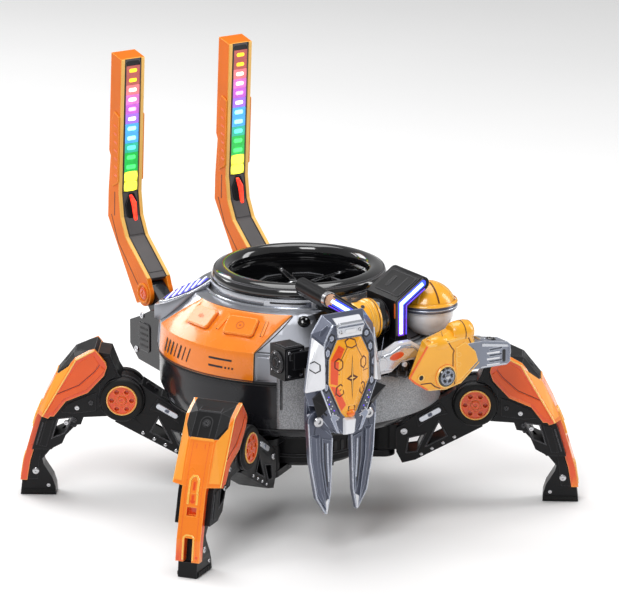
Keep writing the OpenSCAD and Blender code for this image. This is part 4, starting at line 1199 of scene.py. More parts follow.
def build_shield():
    """Face, forehead bar, frame, flanks, chin and back of the shield."""
    body = "shield"
    spot = SHIELD_SPOT
    # amber face: raised middle, outlined cells, star and bottom orb
    inner = [(-2.6, 127.4), (2.6, 127.4), (6.4, 119), (7.0, 104), (2.2, 91), (-2.2, 91),
             (-7.0, 104), (-6.4, 119)]
    plate("face_crown", body, spot.moved(0, 0, 2.6), inner, 0, 1.0, "amber", 0.4, 2,
          top=[(u * 0.82, 109 + (v - 109) * 0.9) for u, v in inner])
    cells = [(0.0, 129.4, 2.6, 1.5), (-8.4, 117.8, 3.6, 0.7), (8.4, 117.0, 3.6, 0.7),
             (-7.6, 102.2, 3.8, 0.62), (7.6, 101.6, 3.8, 0.62), (0, 90.5, 2.2, 1.1)]
    for i, (u, v, r, squash) in enumerate(cells):
        outline = hex_outline(u, v, r, 30, squash)
        engrave("face_cell_%d" % i, body, "shield_face", spot, outline, 0.3, "brown_line",
                0.12, 0.9, closed=True)
    for i, (u0, v0, u1, v1) in enumerate(((-7.4, 119.8, -3.0, 127.8), (7.4, 119.8, 3.0, 127.8),
                                          (-12.6, 112, -8.0, 112), (12.6, 112, 8.0, 112),
                                          (-7.2, 103, -11.5, 97), (7.2, 103, 11.5, 97))):
        engrave("face_crease_%d" % i, body, "shield_face", spot, [(u0, v0), (u1, v1)], 0.18,
                "brown_line", 0.08, 0.9)
    star = spot.moved(0, 0, 3.55)
    plate("face_star", body, star, [(0, 123), (0.65, 111), (4.0, 109), (0.65, 107), (0, 96),
                                    (-0.65, 107), (-4.0, 109), (-0.65, 111)], -0.1, 0.14,
          "brown_line")
    plate("face_star_core", body, star, [(0, 120), (0.28, 109.6), (2.2, 109), (0.28, 108.4),
                                         (0, 99), (-0.28, 108.4), (-2.2, 109), (-0.28, 109.6)],
          0, 0.3, "cream")
    stack("face_orb", body, Spot((SHIELD_X, -114.0, 87.4), (1, 0, 0), (0, 0, 1)),
          [(2.5, -0.6), (2.6, 0.4), (2.1, 1.5), (1.1, 2.1), (0.3, 2.3)], "orange", steps=28)
    # left facets of the face in deep orange: painted shade on the side that lies in shadow
    inlay("face_flank_left", body, "shield_face", spot,
          [(-7.6, 129.2), (-12.9, 120.4), (-13.1, 106.4), (-9.0, 105.2), (-8.4, 118.4),
           (-4.6, 126.8)], 0.1, "red_orange", 0.05)
    inlay("face_flank_left_low", body, "shield_face", spot,
          [(-13.1, 105.2), (-5.4, 88.6), (-3.6, 93.0), (-9.0, 104.2)], 0.1, "red_orange", 0.05)
    # forehead bar with screws
    brow = Spot((SHIELD_X, -112.6, 138.4), (1, 0, 0), (0, -0.25, 1))
    plate("brow_bar", body, brow, [(-9.6, 1.6), (-8.0, 4.0), (8.0, 4.0), (9.6, 1.6),
                                   (8.6, -3.4), (-8.6, -3.4)], -0.8, 1.3, "bright_silver", 0.5)
    plate("brow_band", body, brow, [(-8.6, 2.4), (8.6, 2.4), (8.9, 1.2), (-8.9, 1.2)], 1.0,
          1.5, "slate", 0.15)
    for u in (-6.4, 6.4):
        screw("brow_screw_%d" % (u > 0), body, brow.moved(u, -1.6, 1.3), 1.15, 0.6, "steel",
              "hex")
    plate("brow_pad", body, brow.moved(0, -1.4), rounded_box(7.4, 2.6, 1.0), 1.0, 1.9, "white",
          0.4)
    # slate frame: hex cells, dots, bright facets
    frame_cells = [(-14.6, 125.0, 3.6, 0.62), (-17.6, 115.5, 3.8, 0.72), (-15.6, 104.6, 3.4, 0.6),
                   (14.6, 125.0, 3.6, 0.62), (17.4, 115.5, 3.8, 0.72), (15.6, 104.6, 3.4, 0.6),
                   (-11.9, 133.4, 2.6, 0.9), (11.9, 133.4, 2.6, 0.9)]
    for i, (u, v, r, squash) in enumerate(frame_cells):
        engrave("frame_cell_%d" % i, body, "shield_frame", spot,
                hex_outline(u, v, r, 30, squash), 0.3, "line", 0.1, 0.9, closed=True)
        inlay("frame_tile_%d" % i, body, "shield_frame", spot,
              hex_outline(u, v, r * 0.62, 30, squash), 0.25, "pale_slate", 0.1)
    for s in (-1, 1):
        for k in range(11):
            u = s * (13.9 - k * 0.62 + (k % 2) * 1.5)
            v = 98.5 - k * 1.45
            if on_node("shield_frame", spot, u, v)[0] is None:
                continue
            dot = surface_spot("shield_frame", spot, u, v)
            stack("frame_dot_%d_%d" % (s > 0, k), body, dot, [(0.42, -0.1), (0.42, 0.25),
                                                              (0.2, 0.35)],
                  "white" if k % 3 else "violet_edge", steps=8)
        for i, (a, b) in enumerate((((s * 10.8, 141.5), (s * 16.6, 131.3)),
                                    ((s * 16.7, 130.8), (s * 19.1, 104.2)),
                                    ((s * 18.9, 103.6), (s * 11.3, 84.6)))):
            engrave("frame_ridge_%d_%d" % (s > 0, i), body, "shield_frame", spot,
                    [a, b], 0.28, "pale_slate", 0.16, 1.5)
        for i, (a, b) in enumerate((((s * 9.0, 132.6), (s * 14.5, 121.3)),
                                    ((s * 14.7, 120.6), (s * 14.9, 106.0)),
                                    ((s * 14.7, 105.2), (s * 6.1, 87.0)))):
            engrave("frame_lip_%d_%d" % (s > 0, i), body, "shield_frame", spot,
                    [a, b], 0.45, "line", 0.12, 1.5)
    # dark upper plate and lower block on the left flank, white flank between them
    inlay("flank_top_left", body, "shield_frame", spot,
          [(-19.6, 129.2), (-17.0, 137.8), (-13.0, 141.4), (-11.8, 134.0), (-16.2, 127.6)],
          0.5, "slate", 0.2)
    inlay("flank_block_left", body, "shield_frame", spot,
          [(-25.3, 99.6), (-19.3, 102.4), (-14.4, 91.6), (-19.4, 85.4)], 0.6, "black", 0.2)
    inlay("flank_block_right", body, "shield_frame", spot,
          [(25.3, 99.6), (19.3, 102.4), (14.4, 91.6), (19.4, 85.4)], 0.6, "black", 0.2)
    for s in (-1, 1):
        engrave("flank_seam_%d" % (s > 0), body, "shield_trim", spot,
                [(s * 23.6, 128.5), (s * 24.4, 118.0), (s * 25.6, 104.0)], 0.3, "slate", 0.1)
        engrave("flank_hex_%d" % (s > 0), body, "shield_trim", spot,
                hex_outline(s * 21.6, 117.0, 3.4, 30, 0.7), 0.28, "line", 0.1, 0.8, closed=True)
        for k in range(3):
            engrave("flank_tick_%d_%d" % (s > 0, k), body, "shield_frame", spot,
                    [(s * (21.5 - k * 1.9), 97.5 - k * 3.4), (s * (18.0 - k * 1.9), 94 - k * 3.4)],
                    0.25, "line", 0.7, 1.0)
    # chin piece with its silver struts
    chin = Spot((SHIELD_X, -112.2, 80.0), (1, 0, 0), (0, 0, 1))
    plate("chin_cap", body, chin, [(-4.4, 4.6), (4.2, 4.6), (3.2, -6.0), (-4.2, -6.0)],
          -0.8, 2.2, "white", 0.5, top=[(-3.0, 3.4), (3.0, 3.4), (2.2, -5.2), (-3.2, -5.2)])
    for s in (-1, 1):
        plate("chin_strut_%d" % (s > 0), body, chin,
              [(s * 6.4, 5.2), (s * 11.6, 8.4), (s * 13.0, 5.6), (s * 8.6, -3.6),
               (s * 6.6, -4.6), (s * 9.4, 3.6)], -1.6, 0.7, "pale_slate", 0.3)
        bolt = Spot((SHIELD_X + (-19.5 if s < 0 else 15.0), -109.4, 84.0), (1, 0, 0), (0, 0, 1))
        stack("blade_bolt_%d" % (s > 0), body, bolt, [(3.2, -1.2), (3.2, 0.9), (2.6, 1.5),
                                                      (hexagon(1.4), 1.5), (hexagon(1.4), 0.6)],
              "steel", steps=36)
    # back of the shield
    rear = Spot((SHIELD_X, -101.0, 108.0), (-1, 0, 0), (0, 0, 1))
    plate("shield_back_plate", body, rear, [(-12, -14), (12, -14), (12, 4), (7, 8), (-7, 8),
                                            (-12, 4)], -0.6, 0.7, "black", 0.4)
    for k in range(4):
        plate("shield_back_rib_%d" % k, body, rear.moved(0, -10.5 + k * 3.4),
              rounded_box(18, 1.2, 0.5), 0.4, 1.1, "cap_grey", 0.15)


def build_blade(body, node, mirror_u, shift):
    """Ridges, a raised panel and an edge line on a hanging blade."""
    spot = Spot((SHIELD_X + shift, -107.95, 0), (1, 0, 0), (0, 0, 1))
    m = mirror_u

    def side(points):
        return [(m * u, v) for u, v in points]

    tag = node + "_"
    grind = [(-24.0, 76), (-23.0, 60), (-19.0, 39), (-13.0, 27.5), (-14.4, 40), (-17.2, 58),
             (-17.6, 76)]
    plate(tag + "ridge", body, spot, side(grind), -0.2, 1.5, "slate", 0.2,
          top=side([(-20.8, 74), (-20.0, 60), (-17.6, 42), (-13.6, 30), (-15.0, 42),
                    (-17.8, 59), (-18.2, 74)]))
    plate(tag + "panel", body, spot, side([(-16.2, 73), (-15.8, 58), (-13.4, 41), (-11.4, 36),
                                           (-11.0, 44), (-9.8, 71)]), -0.2, 0.7, "slate", 0.3)
    band_along(tag + "groove", body, spot, side([(-14.6, 70), (-14.2, 57), (-12.4, 43)]), 0.3,
               0.5, 0.82, "line")
    band_along(tag + "glint", body, spot, side([(-12.6, 69.5), (-12.3, 58), (-11.6, 46)]), 0.45,
               0.5, 0.95, "pale_slate", 0.1)
    band_along(tag + "edge", body, spot, side([(-9.0, 72), (-10.3, 38.6), (-12.7, 27)]), 0.45,
               -0.6, 0.5, "pale_slate", 0.2)
    band_along(tag + "edge_out", body, spot, side([(-25.2, 83), (-23.8, 60), (-19.4, 37),
                                                   (-13.2, 26.6)]), 0.4, -0.6, 0.4,
               "pale_slate", 0.2)
    plate(tag + "tip", body, spot, side([(-14.6, 33.5), (-12.7, 26.3), (-11.6, 35.5)]), -0.4,
          0.75, "white", 0.15)
    rear = Spot((SHIELD_X + shift, -104.55, 0), (-1, 0, 0), (0, 0, 1))
    plate(tag + "back_panel", body, rear,
          [(-u, v) for u, v in side([(-21.5, 72), (-20.8, 60), (-17.2, 44), (-12.4, 40),
                                     (-11.2, 70)])], -0.2, 0.6, "slate", 0.3)


build_shield()
build_blade("blade_left", "left_blade", 1, 0.0)
build_blade("blade_right", "right_blade", -1, -4.5)


# ---------------------------------------------------------------------------- cannon

def build_cannon():
    """Seams, humps, screws and dial on the cannon's casing."""
    body = "cannon"
    node = "cannon_casing"
    spot = Spot((0, -105, 0), (1, 0, 0), (0, 0, 1))
    lines = {
        "seam_a": [(31.5, 123.5), (34.4, 119.6), (39.4, 112.1), (41.0, 110.3)],
        "seam_b": [(41.6, 97.4), (41.4, 89.6)],
        "pill_left": [(41.0, 110.3), (40.2, 108.4), (40.2, 99.4), (41.6, 97.4)],
        "seam_c": [(41.5, 123.8), (45.7, 120.2), (50.7, 117.4), (52.6, 113.2)],
        "slash_a": [(45.6, 105.2), (53.4, 108.8)],
        "slash_b": [(46.8, 101.0), (54.8, 104.9)],
        "slash_c": [(48.6, 97.4), (56.2, 101.4)],
        "lower": [(17.6, 93.4), (24.6, 93.0), (27.6, 90.4), (31.4, 88.6)],
        "top": [(24.4, 118.6), (28.1, 121.4), (29.6, 118.8)],
    }
    for name, points in lines.items():
        engrave("casing_" + name, body, node, spot, points, 0.32, "brown_line", 0.1, 0.9)
    for i, (u, v) in enumerate(((53.9, 109.2), (55.3, 105.2), (56.5, 101.6))):
        dot = surface_spot(node, spot, u, v)
        stack("casing_dot_%d" % i, body, dot, [(0.7, -0.1), (0.7, 0.18), (0.4, 0.22)], "line",
              steps=14)
    for i, (u, v, r) in enumerate(((44.2, 107.4, 1.1), (44.2, 101.4, 1.1), (17.7, 97.3, 1.5))):
        seat = surface_spot(node, spot, u, v)
        stack("casing_seat_%d" % i, body, seat, [(r * 1.5, -0.2), (r * 1.45, 0.5), (r * 1.1, 0.6),
                                                 (r, 0.3)], "gold", steps=28,
              caps=(False, False))
        screw("casing_screw_%d" % i, body, seat, r, 0.35, "cap_grey", "hex")
    # bright bevel along the front's upper edge and the deep left edge
    band_along("casing_brow", body, spot.moved(0, 0, -0.1), [(23.2, 115.4), (29.2, 115.3),
                                                            (39.4, 116.2), (51.4, 117.3)],
               0.5, -0.3, 0.3, "cream", 0.25)
    band_along("casing_left_edge", body, spot, [(22.3, 115.8), (16.5, 107.6), (9.9, 98.2),
                                                (14.2, 94.4), (22.4, 89.2)], 0.55, -0.7, 0.35,
               "red_orange", 0.3)
    band_along("casing_low_edge", body, spot, [(23.6, 88.9), (35.2, 87.9), (45.6, 90.1),
                                               (58.8, 100.6)], 0.35, -0.7, 0.25, "cream", 0.2)
    # raised cheek plate behind the pill recess
    plate("casing_cheek", body, spot, [(42.2, 112.0), (48.5, 114.6), (56.0, 107.6),
                                       (57.8, 101.6), (46.4, 92.4), (42.4, 90.8)],
          -0.3, 0.55, "gold", 0.35)
    # soft hump over the casing
    hump = Spot((50.0, -98.5, 119.0), (0, 1, 0), (0, 0, 1))
    stack("casing_hump", body, hump,
          [(5.0, -8.0), (6.3, -6.6), (6.9, -3.0), (7.0, 2.2), (6.4, 5.0), (5.0, 6.3)], "gold",
          steps=56)
    stack("casing_hump_line", body, hump, [(7.02, -1.2), (7.1, -0.9), (7.02, -0.6)],
          "brown_line", steps=56, caps=(False, False))
    fore = Spot((34.5, -100.4, 114.6), (0, 1, 0), (0, 0, 1))
    stack("casing_fore_hump", body, fore,
          [(3.6, -8.5), (4.6, -7.4), (5.1, -4.0), (5.1, 1.0), (4.4, 3.2), (3.2, 4.0)], "gold",
          steps=48)
    # dial: dark ring on a yellow boss
    dial = Spot((35.2, -105, 95.4), (1, 0, 0), (0, 0, 1))
    stack("dial_boss", body, dial, [(7.0, -0.3), (7.0, 0.6), (6.5, 1.2), (6.0, 1.2), (5.8, 0.5)],
          "gold", caps=(True, False))
    stack("dial_shade", body, dial, [(7.3, -0.2), (7.25, 0.15), (6.9, 0.2)], "red_orange",
          caps=(False, False))
    stack("dial_ring", body, dial, [(5.8, 0.2), (5.8, 1.5), (5.3, 2.2), (4.8, 2.2), (4.7, 1.5)],
          "gloss_black", caps=(False, False))
    for k in range(5):
        a = math.radians(90 + 72 * k)
        hole = dial.moved(2.9 * math.cos(a), 2.9 * math.sin(a), 1.95)
        stack("dial_hole_%d" % k, body, hole, [(0.95, 0), (0.95, 0.12), (0.6, 0.14)], "line",
              steps=16)
    stack("dial_hub", body, dial, [(1.3, 1.8), (1.3, 2.3), (0.9, 2.5)], "steel", steps=20)
    build_muzzle(body)
    build_link()


def build_muzzle(body):
    """Slits, port, mark and nose of the muzzle."""
    spot = Spot((0, -105, 0), (1, 0, 0), (0, 0, 1))
    for i, z in enumerate((104.6, 101.0, 97.4)):
        plate("muzzle_slit_%d" % i, body, spot, [(64.2, z + 0.75), (73.4, z + 0.45),
                                                 (73.4, z - 0.75), (64.2, z - 0.45)],
              -0.4, 0.15, "white", 0.12)
        plate("muzzle_slit_rim_%d" % i, body, spot, [(63.7, z + 1.2), (73.9, z + 0.9),
                                                     (73.9, z - 1.15), (63.7, z - 0.85)],
              -0.4, 0.08, "slate")
    plate("muzzle_port", body, spot, moved(rounded_box(2.2, 7.6, 0.8), 76.4, 101.7), -0.4,
          0.12, "line")
    plate("muzzle_skin", body, spot, [(60.6, 111.6), (78.4, 108.4), (79.4, 107.4),
                                      (79.4, 106.6), (60.6, 109.6)], -0.3, 0.3,
          "bright_silver", 0.2)
    band_along("muzzle_foot", body, spot, [(60, 97.1), (78.4, 96.6)], 0.4, -0.3, 0.25,
               "bright_silver", 0.15)
    band_along("muzzle_end", body, spot, [(79.9, 98.6), (79.9, 107.2)], 0.55, -0.4, 0.3,
               "slate", 0.25)
    top = Spot((70.8, -99.2, 111.2), (1, 0, -0.14), (0, 1, 0))
    stack("muzzle_mark", body, top, [(3.1, -0.6), (3.1, 0.5), (2.5, 0.9), (2.1, 0.5),
                                     (1.0, 0.5), (0.7, 1.0)], "gloss_black", steps=32)
    plate("muzzle_top", body, top.moved(-8.2, 0, 1.1), rounded_box(4.4, 7.2, 1.2), -1.4, 0.4,
          "bright_silver", 0.3)
    nose = Spot((81.0, -99.2, 102.8), (0, 1, 0), (0, 0, 1))
    stack("muzzle_nose", body, nose, [(5.2, -0.4), (5.2, 0.7), (4.6, 1.3), (3.7, 1.3),
                                      (3.3, 0.2), (3.2, -5.0)], "slate", steps=40,
          caps=(False, True))


def build_link():
    """Skin, pivot and piston of the cannon arm's link."""
    body = "cannon_arm"
    spot = Spot((0, -93, 0), (1, 0, 0), (0, 0, 1))
    outer = [(-1.8, 111.2), (4, 112.2), (10.6, 115.4), (18.6, 115.4), (26.8, 109.4),
             (33.5, 103.0), (29.2, 97.6), (22.9, 107.0), (11.2, 106.0), (4.0, 101.2),
             (-1.8, 101.0)]
    shell = plate("link_shell", body, spot, outer, -0.2, 1.6, "bright_silver", 0.7, 3,
                  top=moved(outer, 1.2, 10.6, 0, 0.9))
    inset = [(7.6 + 5.0 * math.cos(math.radians(a)), 109.6 + 2.4 * math.sin(math.radians(a) + 0.3))
             for a in range(0, 360, 30)]
    plate("link_inset", body, spot, inset, 1.2, 1.9, "red_orange", 0.25)
    band_along("link_line", body, spot, [(14.2, 113.6), (19.6, 113.0), (27.4, 106.0)], 0.35,
               1.2, 1.85, "slate", 0.1)
    knuckle = Spot((14.5, -90.5, 100.4), (1, 0, 0), (0, 0, 1))
    stack("link_knuckle", body, knuckle, [(4.6, -1.6), (4.8, 0.6), (4.2, 1.6), (2.0, 1.8),
                                          (hexagon(1.8), 2.6), (hexagon(1.4), 3.0)], "black")
    rod("link_piston", body, (3.0, -91.4, 99.2), (24.0, -91.4, 95.4), 1.9, "cap_grey",
        collars=(0.3, 0.6))
    rod("link_piston_rod", body, (22.0, -91.4, 95.8), (31.0, -91.4, 94.2), 1.2, "steel")
    screw("link_screw", body, spot.moved(14.2, 103.2, -0.6), 1.6, 1.4, "white", "cross")
    pivot = Spot((-3, -93, 106), (1, 0, 0), (0, 0, 1))
    stack("link_pivot", body, pivot, [(4.6, -0.2), (4.6, 1.2), (4.0, 1.9), (2.4, 1.9),
                                      (hexagon(1.6), 1.9), (hexagon(1.6), 0.9)], "steel",
          steps=48)


build_cannon()

# ---------------------------------------------------------------------------- legs

KNEE_R, KNEE_Z = 105.8, 62.0
FENDER_R = 12.75
STRIP = [(134.5, 90.4), (144.7, 77.7), (152.1, 63.6), (158.5, 48.0), (166.0, 22.0), (168.0, 9.5)]


class Leg:
    """Places points of a leg: r along it, t across it, z up; all in mm."""

    def __init__(self, name, degrees):
        a = math.radians(degrees)
        self.name = name
        self.out = Vector((math.cos(a), math.sin(a), 0.0))
        self.side = Vector((-math.sin(a), math.cos(a), 0.0))
        self.shin = name + "_shin"
        self.thigh = name + "_thigh"

    def point(self, r, t, z):
        return self.out * r + self.side * t + Vector((0, 0, z))

    def front(self, start, end):
        """A Spot on an outward face that runs down between two (r, z) points."""
        down = self.out * (end[0] - start[0]) + Vector((0, 0, end[1] - start[1]))
        return Spot(self.point(start[0], 0, start[1]), -self.side, down)

    def flank(self, t, r=0.0, z=0.0):
        """A Spot on a side face; u runs along the leg (mirrored on the far side)."""
        along = self.out if t < 0 else -self.out
        return Spot(self.point(r, t, z), along, (0, 0, 1))

    def tile(self, name, body, corners, raise_by, material, shrink=0.0, sink=0.4, edge=0.2):
        """A thin slab on a flat facet given by its (r, t, z) corners."""
        points = [self.point(*c) for c in corners]
        centre = sum(points, Vector()) / len(points)
        normal = Vector()
        for a, b in zip(points, points[1:] + points[:1]):
            normal += (a - centre).cross(b - centre)
        normal.normalize()
        knee = self.point(KNEE_R, 0, KNEE_Z)
        if normal.dot(centre - knee) < 0:
            normal = -normal
        if shrink:
            points = [p + (centre - p).normalized() * min(shrink, (centre - p).length * 0.5)
                      for p in points]
        low = [at(*(p - normal * sink)) for p in points]
        high = [at(*(p + normal * raise_by)) for p in points]
        return prism(self.name + "_" + name, body, low, high, material, edge)


def flank_points(t, points):
    """(r, z) points as (u, v) of a flank Spot that starts at r = z = 0."""
    sign = 1 if t < 0 else -1
    return [(sign * r, z) for r, z in points]


def build_armour(leg):
    """Cap, centre strip, bevels and side walls of a leg's armour."""
    body, tag = leg.shin, leg.name + "_"
    # the cap: socket screw with an inverted U groove, and a lip above
    cap = leg.front(STRIP[0], STRIP[1])
    u_groove = [(-3.7, 15.6)] + [(-3.7 * math.cos(math.radians(a)),
                                  6.6 - 3.7 * math.sin(math.radians(a)))
                                 for a in range(0, 181, 20)] + [(3.7, 15.6)]
    band_along(tag + "cap_groove", body, cap, u_groove, 0.3, -0.2, 0.1, "line")
    stack(tag + "cap_seat", body, cap.moved(0, 7.2), [(2.7, -0.2), (2.6, 0.25), (2.2, 0.3),
                                                      (2.1, -0.1)], "line", caps=(False, False))
    screw(tag + "cap_screw", body, cap.moved(0, 7.2), 1.9, 0.7, "cap_grey", "hex")
    upper = leg.front((122.5, 93.0), STRIP[0])
    plate(tag + "cap_lip", body, upper, [(-6.6, 0.6), (6.6, 0.6), (7.0, 11.6), (-7.0, 11.6)],
          -0.3, 0.35, "cap_grey", 0.3)
    band_along(tag + "cap_step", body, upper, [(-6.0, 3.0), (6.0, 3.0)], 0.3, 0.1, 0.42, "line")
    # orange border under the cap
    brow = leg.front(STRIP[1], STRIP[2])
    band_along(tag + "brow", body, brow, [(-7.4, 0.9), (7.4, 0.9)], 0.8, -0.4, 0.5,
               "bright_orange", 0.4)
    for u in (-2.6, 2.6):
        band_along("%sshort_groove_%d" % (tag, u > 0), body, brow, [(u, 3.4), (u, 6.4)], 0.28,
                   -0.2, 0.08, "red_orange")
    # two seams down the strip
    for u in (-5.0, 5.0):
        for k, (a, b) in enumerate(zip(STRIP[1:5], STRIP[2:6])):
            face = leg.front(a, b)
            length = math.hypot(b[0] - a[0], b[1] - a[1])
            band_along("%sseam_%d_%d" % (tag, u > 0, k), body, face,
                       [(u, 2.4 if k == 0 else 0), (u, length)], 0.18, -0.2, 0.06,
                       "red_orange")
    # arch rail about the slot, with a small pointer under it
    upper_face = leg.front(STRIP[2], STRIP[3])
    lower_face = leg.front(STRIP[3], STRIP[4])
    top_length = math.hypot(6.4, 15.6)
    band_along(tag + "arch_top", body, upper_face,
               [(-2.7, top_length), (-2.7, 9.0), (-1.2, 6.6), (1.2, 6.6), (2.7, 9.0),
                (2.7, top_length)], 0.62, -0.3, 1.0, "gold", 0.3)
    plate(tag + "arch_floor", body, upper_face, [(-1.9, top_length), (-1.9, 9.4), (-0.8, 7.6),
                                                 (0.8, 7.6), (1.9, 9.4), (1.9, top_length)],
          -0.3, 0.12, "orange", 0.1)
    plate(tag + "arch_slot", body, upper_face.moved(0, 12.4), rounded_box(1.9, 5.6, 0.9),
          -0.3, 0.22, "red_orange", 0.1)
    for u in (-2.7, 2.7):
        band_along("%sarch_leg_%d" % (tag, u > 0), body, lower_face, [(u, -0.3), (u, 6.4)],
                   0.62, -0.3, 1.0 if u > 0 else 0.5, "gold", 0.3)
    plate(tag + "pointer", body, lower_face, [(-1.0, 0.6), (1.0, 0.6), (1.0, 3.8), (2.5, 3.8),
                                              (0.8, 5.8), (-0.8, 5.8), (-2.5, 3.8), (-1.0, 3.8)],
          -0.2, 0.22, "red_orange", 0.08)
    # the foot slot's golden lip, and a red square near the end of the strip
    lip = [(-3.2, 27.0), (-3.2, 25.4), (-1.8, 24.2), (1.8, 24.2), (3.2, 25.4), (3.2, 27.0)]
    band_along(tag + "foot_lip", body, lower_face, lip, 0.5, -0.4, 0.45, "gold", 0.3)
    last = leg.front(STRIP[4], STRIP[5])
    for u in (-3.2, 3.2):
        band_along("%sfoot_rail_%d" % (tag, u > 0), body, last, [(u, 0), (u, 11.6)], 0.5,
                   -0.4, 0.45, "gold", 0.3)
    plate(tag + "foot_mark", body, last.moved(-5.4, 9.6), rounded_box(2.0, 2.0, 0.3), -0.2,
          0.2, "red_orange", 0.08)
    # side walls: bevel tiles in lighter orange as painted highlight, step and panel plates in
    # deeper orange as painted shade, and a gold band along the top edge as painted highlight
    for s in (-1, 1):
        leg.tile("bevel_%d" % (s > 0), body, [(135.0, s * 14.3, 85.0), (153.4, s * 14.4, 53.2),
                                              (156.0, s * 8.4, 53.6), (151.7, s * 8.3, 64.0),
                                              (145.2, s * 8.5, 76.6)], 0.3, "bright_orange",
                 0.6, 0.8, 0.2)
        wall = leg.flank(s * 15.0)
        step = [(115.4, 81.6), (117.6, 78.6), (126.8, 68.8), (140.2, 63.2), (147.0, 54.4),
                (151.4, 53.6), (144.8, 65.4), (131.0, 71.2), (121.4, 79.6), (118.2, 84.0)]
        plate("%swall_step_%d" % (tag, s > 0), body, wall, flank_points(s, step), -0.3, 0.55,
              "deep_orange", 0.35)
        panel = [(119.2, 85.2), (122.6, 90.8), (131.9, 85.2), (143.6, 66.6), (131.4, 72.2),
                 (122.2, 80.4)]
        plate("%swall_panel_%d" % (tag, s > 0), body, wall, flank_points(s, panel), -0.3, 0.22,
              "deep_orange", 0.25)
        band_along("%swall_edge_%d" % (tag, s > 0), body, wall,
                   flank_points(s, [(121.7, 93.4), (133.0, 87.2), (138.5, 77.6),
                                    (153.5, 51.9)]), 0.4, -0.3, 0.28, "gold", 0.2)
        band_along("%swall_line_%d" % (tag, s > 0), body, wall,
                   flank_points(s, [(118.6, 84.6), (121.8, 80.2), (131.2, 71.8), (144.6, 66.0)]),
                   0.18, -0.2, 0.12, "brown_line")


def build_knee(leg):
    """Hub and tyre trim of a knee, and the fender over it."""
    body, tag = leg.shin, leg.name + "_"
    for s in (-1, 1):
        face = leg.flank(s * 13.7, KNEE_R, KNEE_Z)
        label = "%d" % (s > 0)
        stack(tag + "hub_lip_" + label, body, face,
              [(9.15, -0.6), (9.15, 0.25), (8.7, 0.55), (8.1, 0.5), (7.8, 0.0), (7.7, -0.3)],
              "red_orange", steps=56, caps=(False, False))
        stack(tag + "hub_glint_" + label, body, face,
              [(9.2, 0.1), (9.1, 0.5), (8.85, 0.66), (8.6, 0.6)], "gold", steps=56,
              caps=(False, False))
        for k in range(6):
            a = math.radians(60 * k)
            stack("%shub_hole_%s_%d" % (tag, label, k), body,
                  face.moved(6 * math.cos(a), 6 * math.sin(a)),
                  [(1.9, -0.2), (1.85, 0.2), (1.5, 0.22), (1.4, -0.6)], "red_orange", steps=20,
                  caps=(False, False))
            b = math.radians(60 * k + 30)
            stack("%shub_dot_%s_%d" % (tag, label, k), body,
                  face.moved(4.4 * math.cos(b), 4.4 * math.sin(b)),
                  [(0.7, -0.2), (0.65, 0.2), (0.3, 0.25)], "deep_orange", steps=12)
        stack(tag + "hub_boss_" + label, body, face,
              [(2.8, -0.6), (2.8, 0.1), (2.4, 0.3), (hexagon(1.5), 0.3), (hexagon(1.5), -0.5)],
              "red_orange", steps=36)
        outer = leg.flank(s * 14.0, KNEE_R, KNEE_Z)
        stack(tag + "tyre_ring_" + label, body, outer,
              [(12.6, -0.9), (12.2, -0.35), (11.6, -0.1), (10.2, -0.1), (9.7, -0.5)],
              "rubber", steps=64, caps=(False, False))
        for j, (w0, w1) in enumerate(((-1.6, -1.35), (-3.9, -3.4))):
            stack("%styre_band_%s_%d" % (tag, label, j), body, outer,
                  [(13.25, w1 + 0.1), (13.36, w1), (13.36, w0), (13.25, w0 - 0.1)],
                  "cap_grey", steps=72, caps=(False, False))
    # grey fender over the wheels
    rows = []
    for a in range(64, 150, 8):
        ca, sa = math.cos(math.radians(a)), math.sin(math.radians(a))
        row = []
        for t, h in ((-4.2, -0.4), (-4.0, 0.5), (4.0, 0.5), (4.2, -0.4)):
            r = FENDER_R + h
            row.append(at(*leg.point(KNEE_R + r * ca, t, KNEE_Z + r * sa)))
        rows.append(row)
    soften(ribbon(tag + "fender", leg.thigh, rows, "cap_grey"), 0.25, 2)


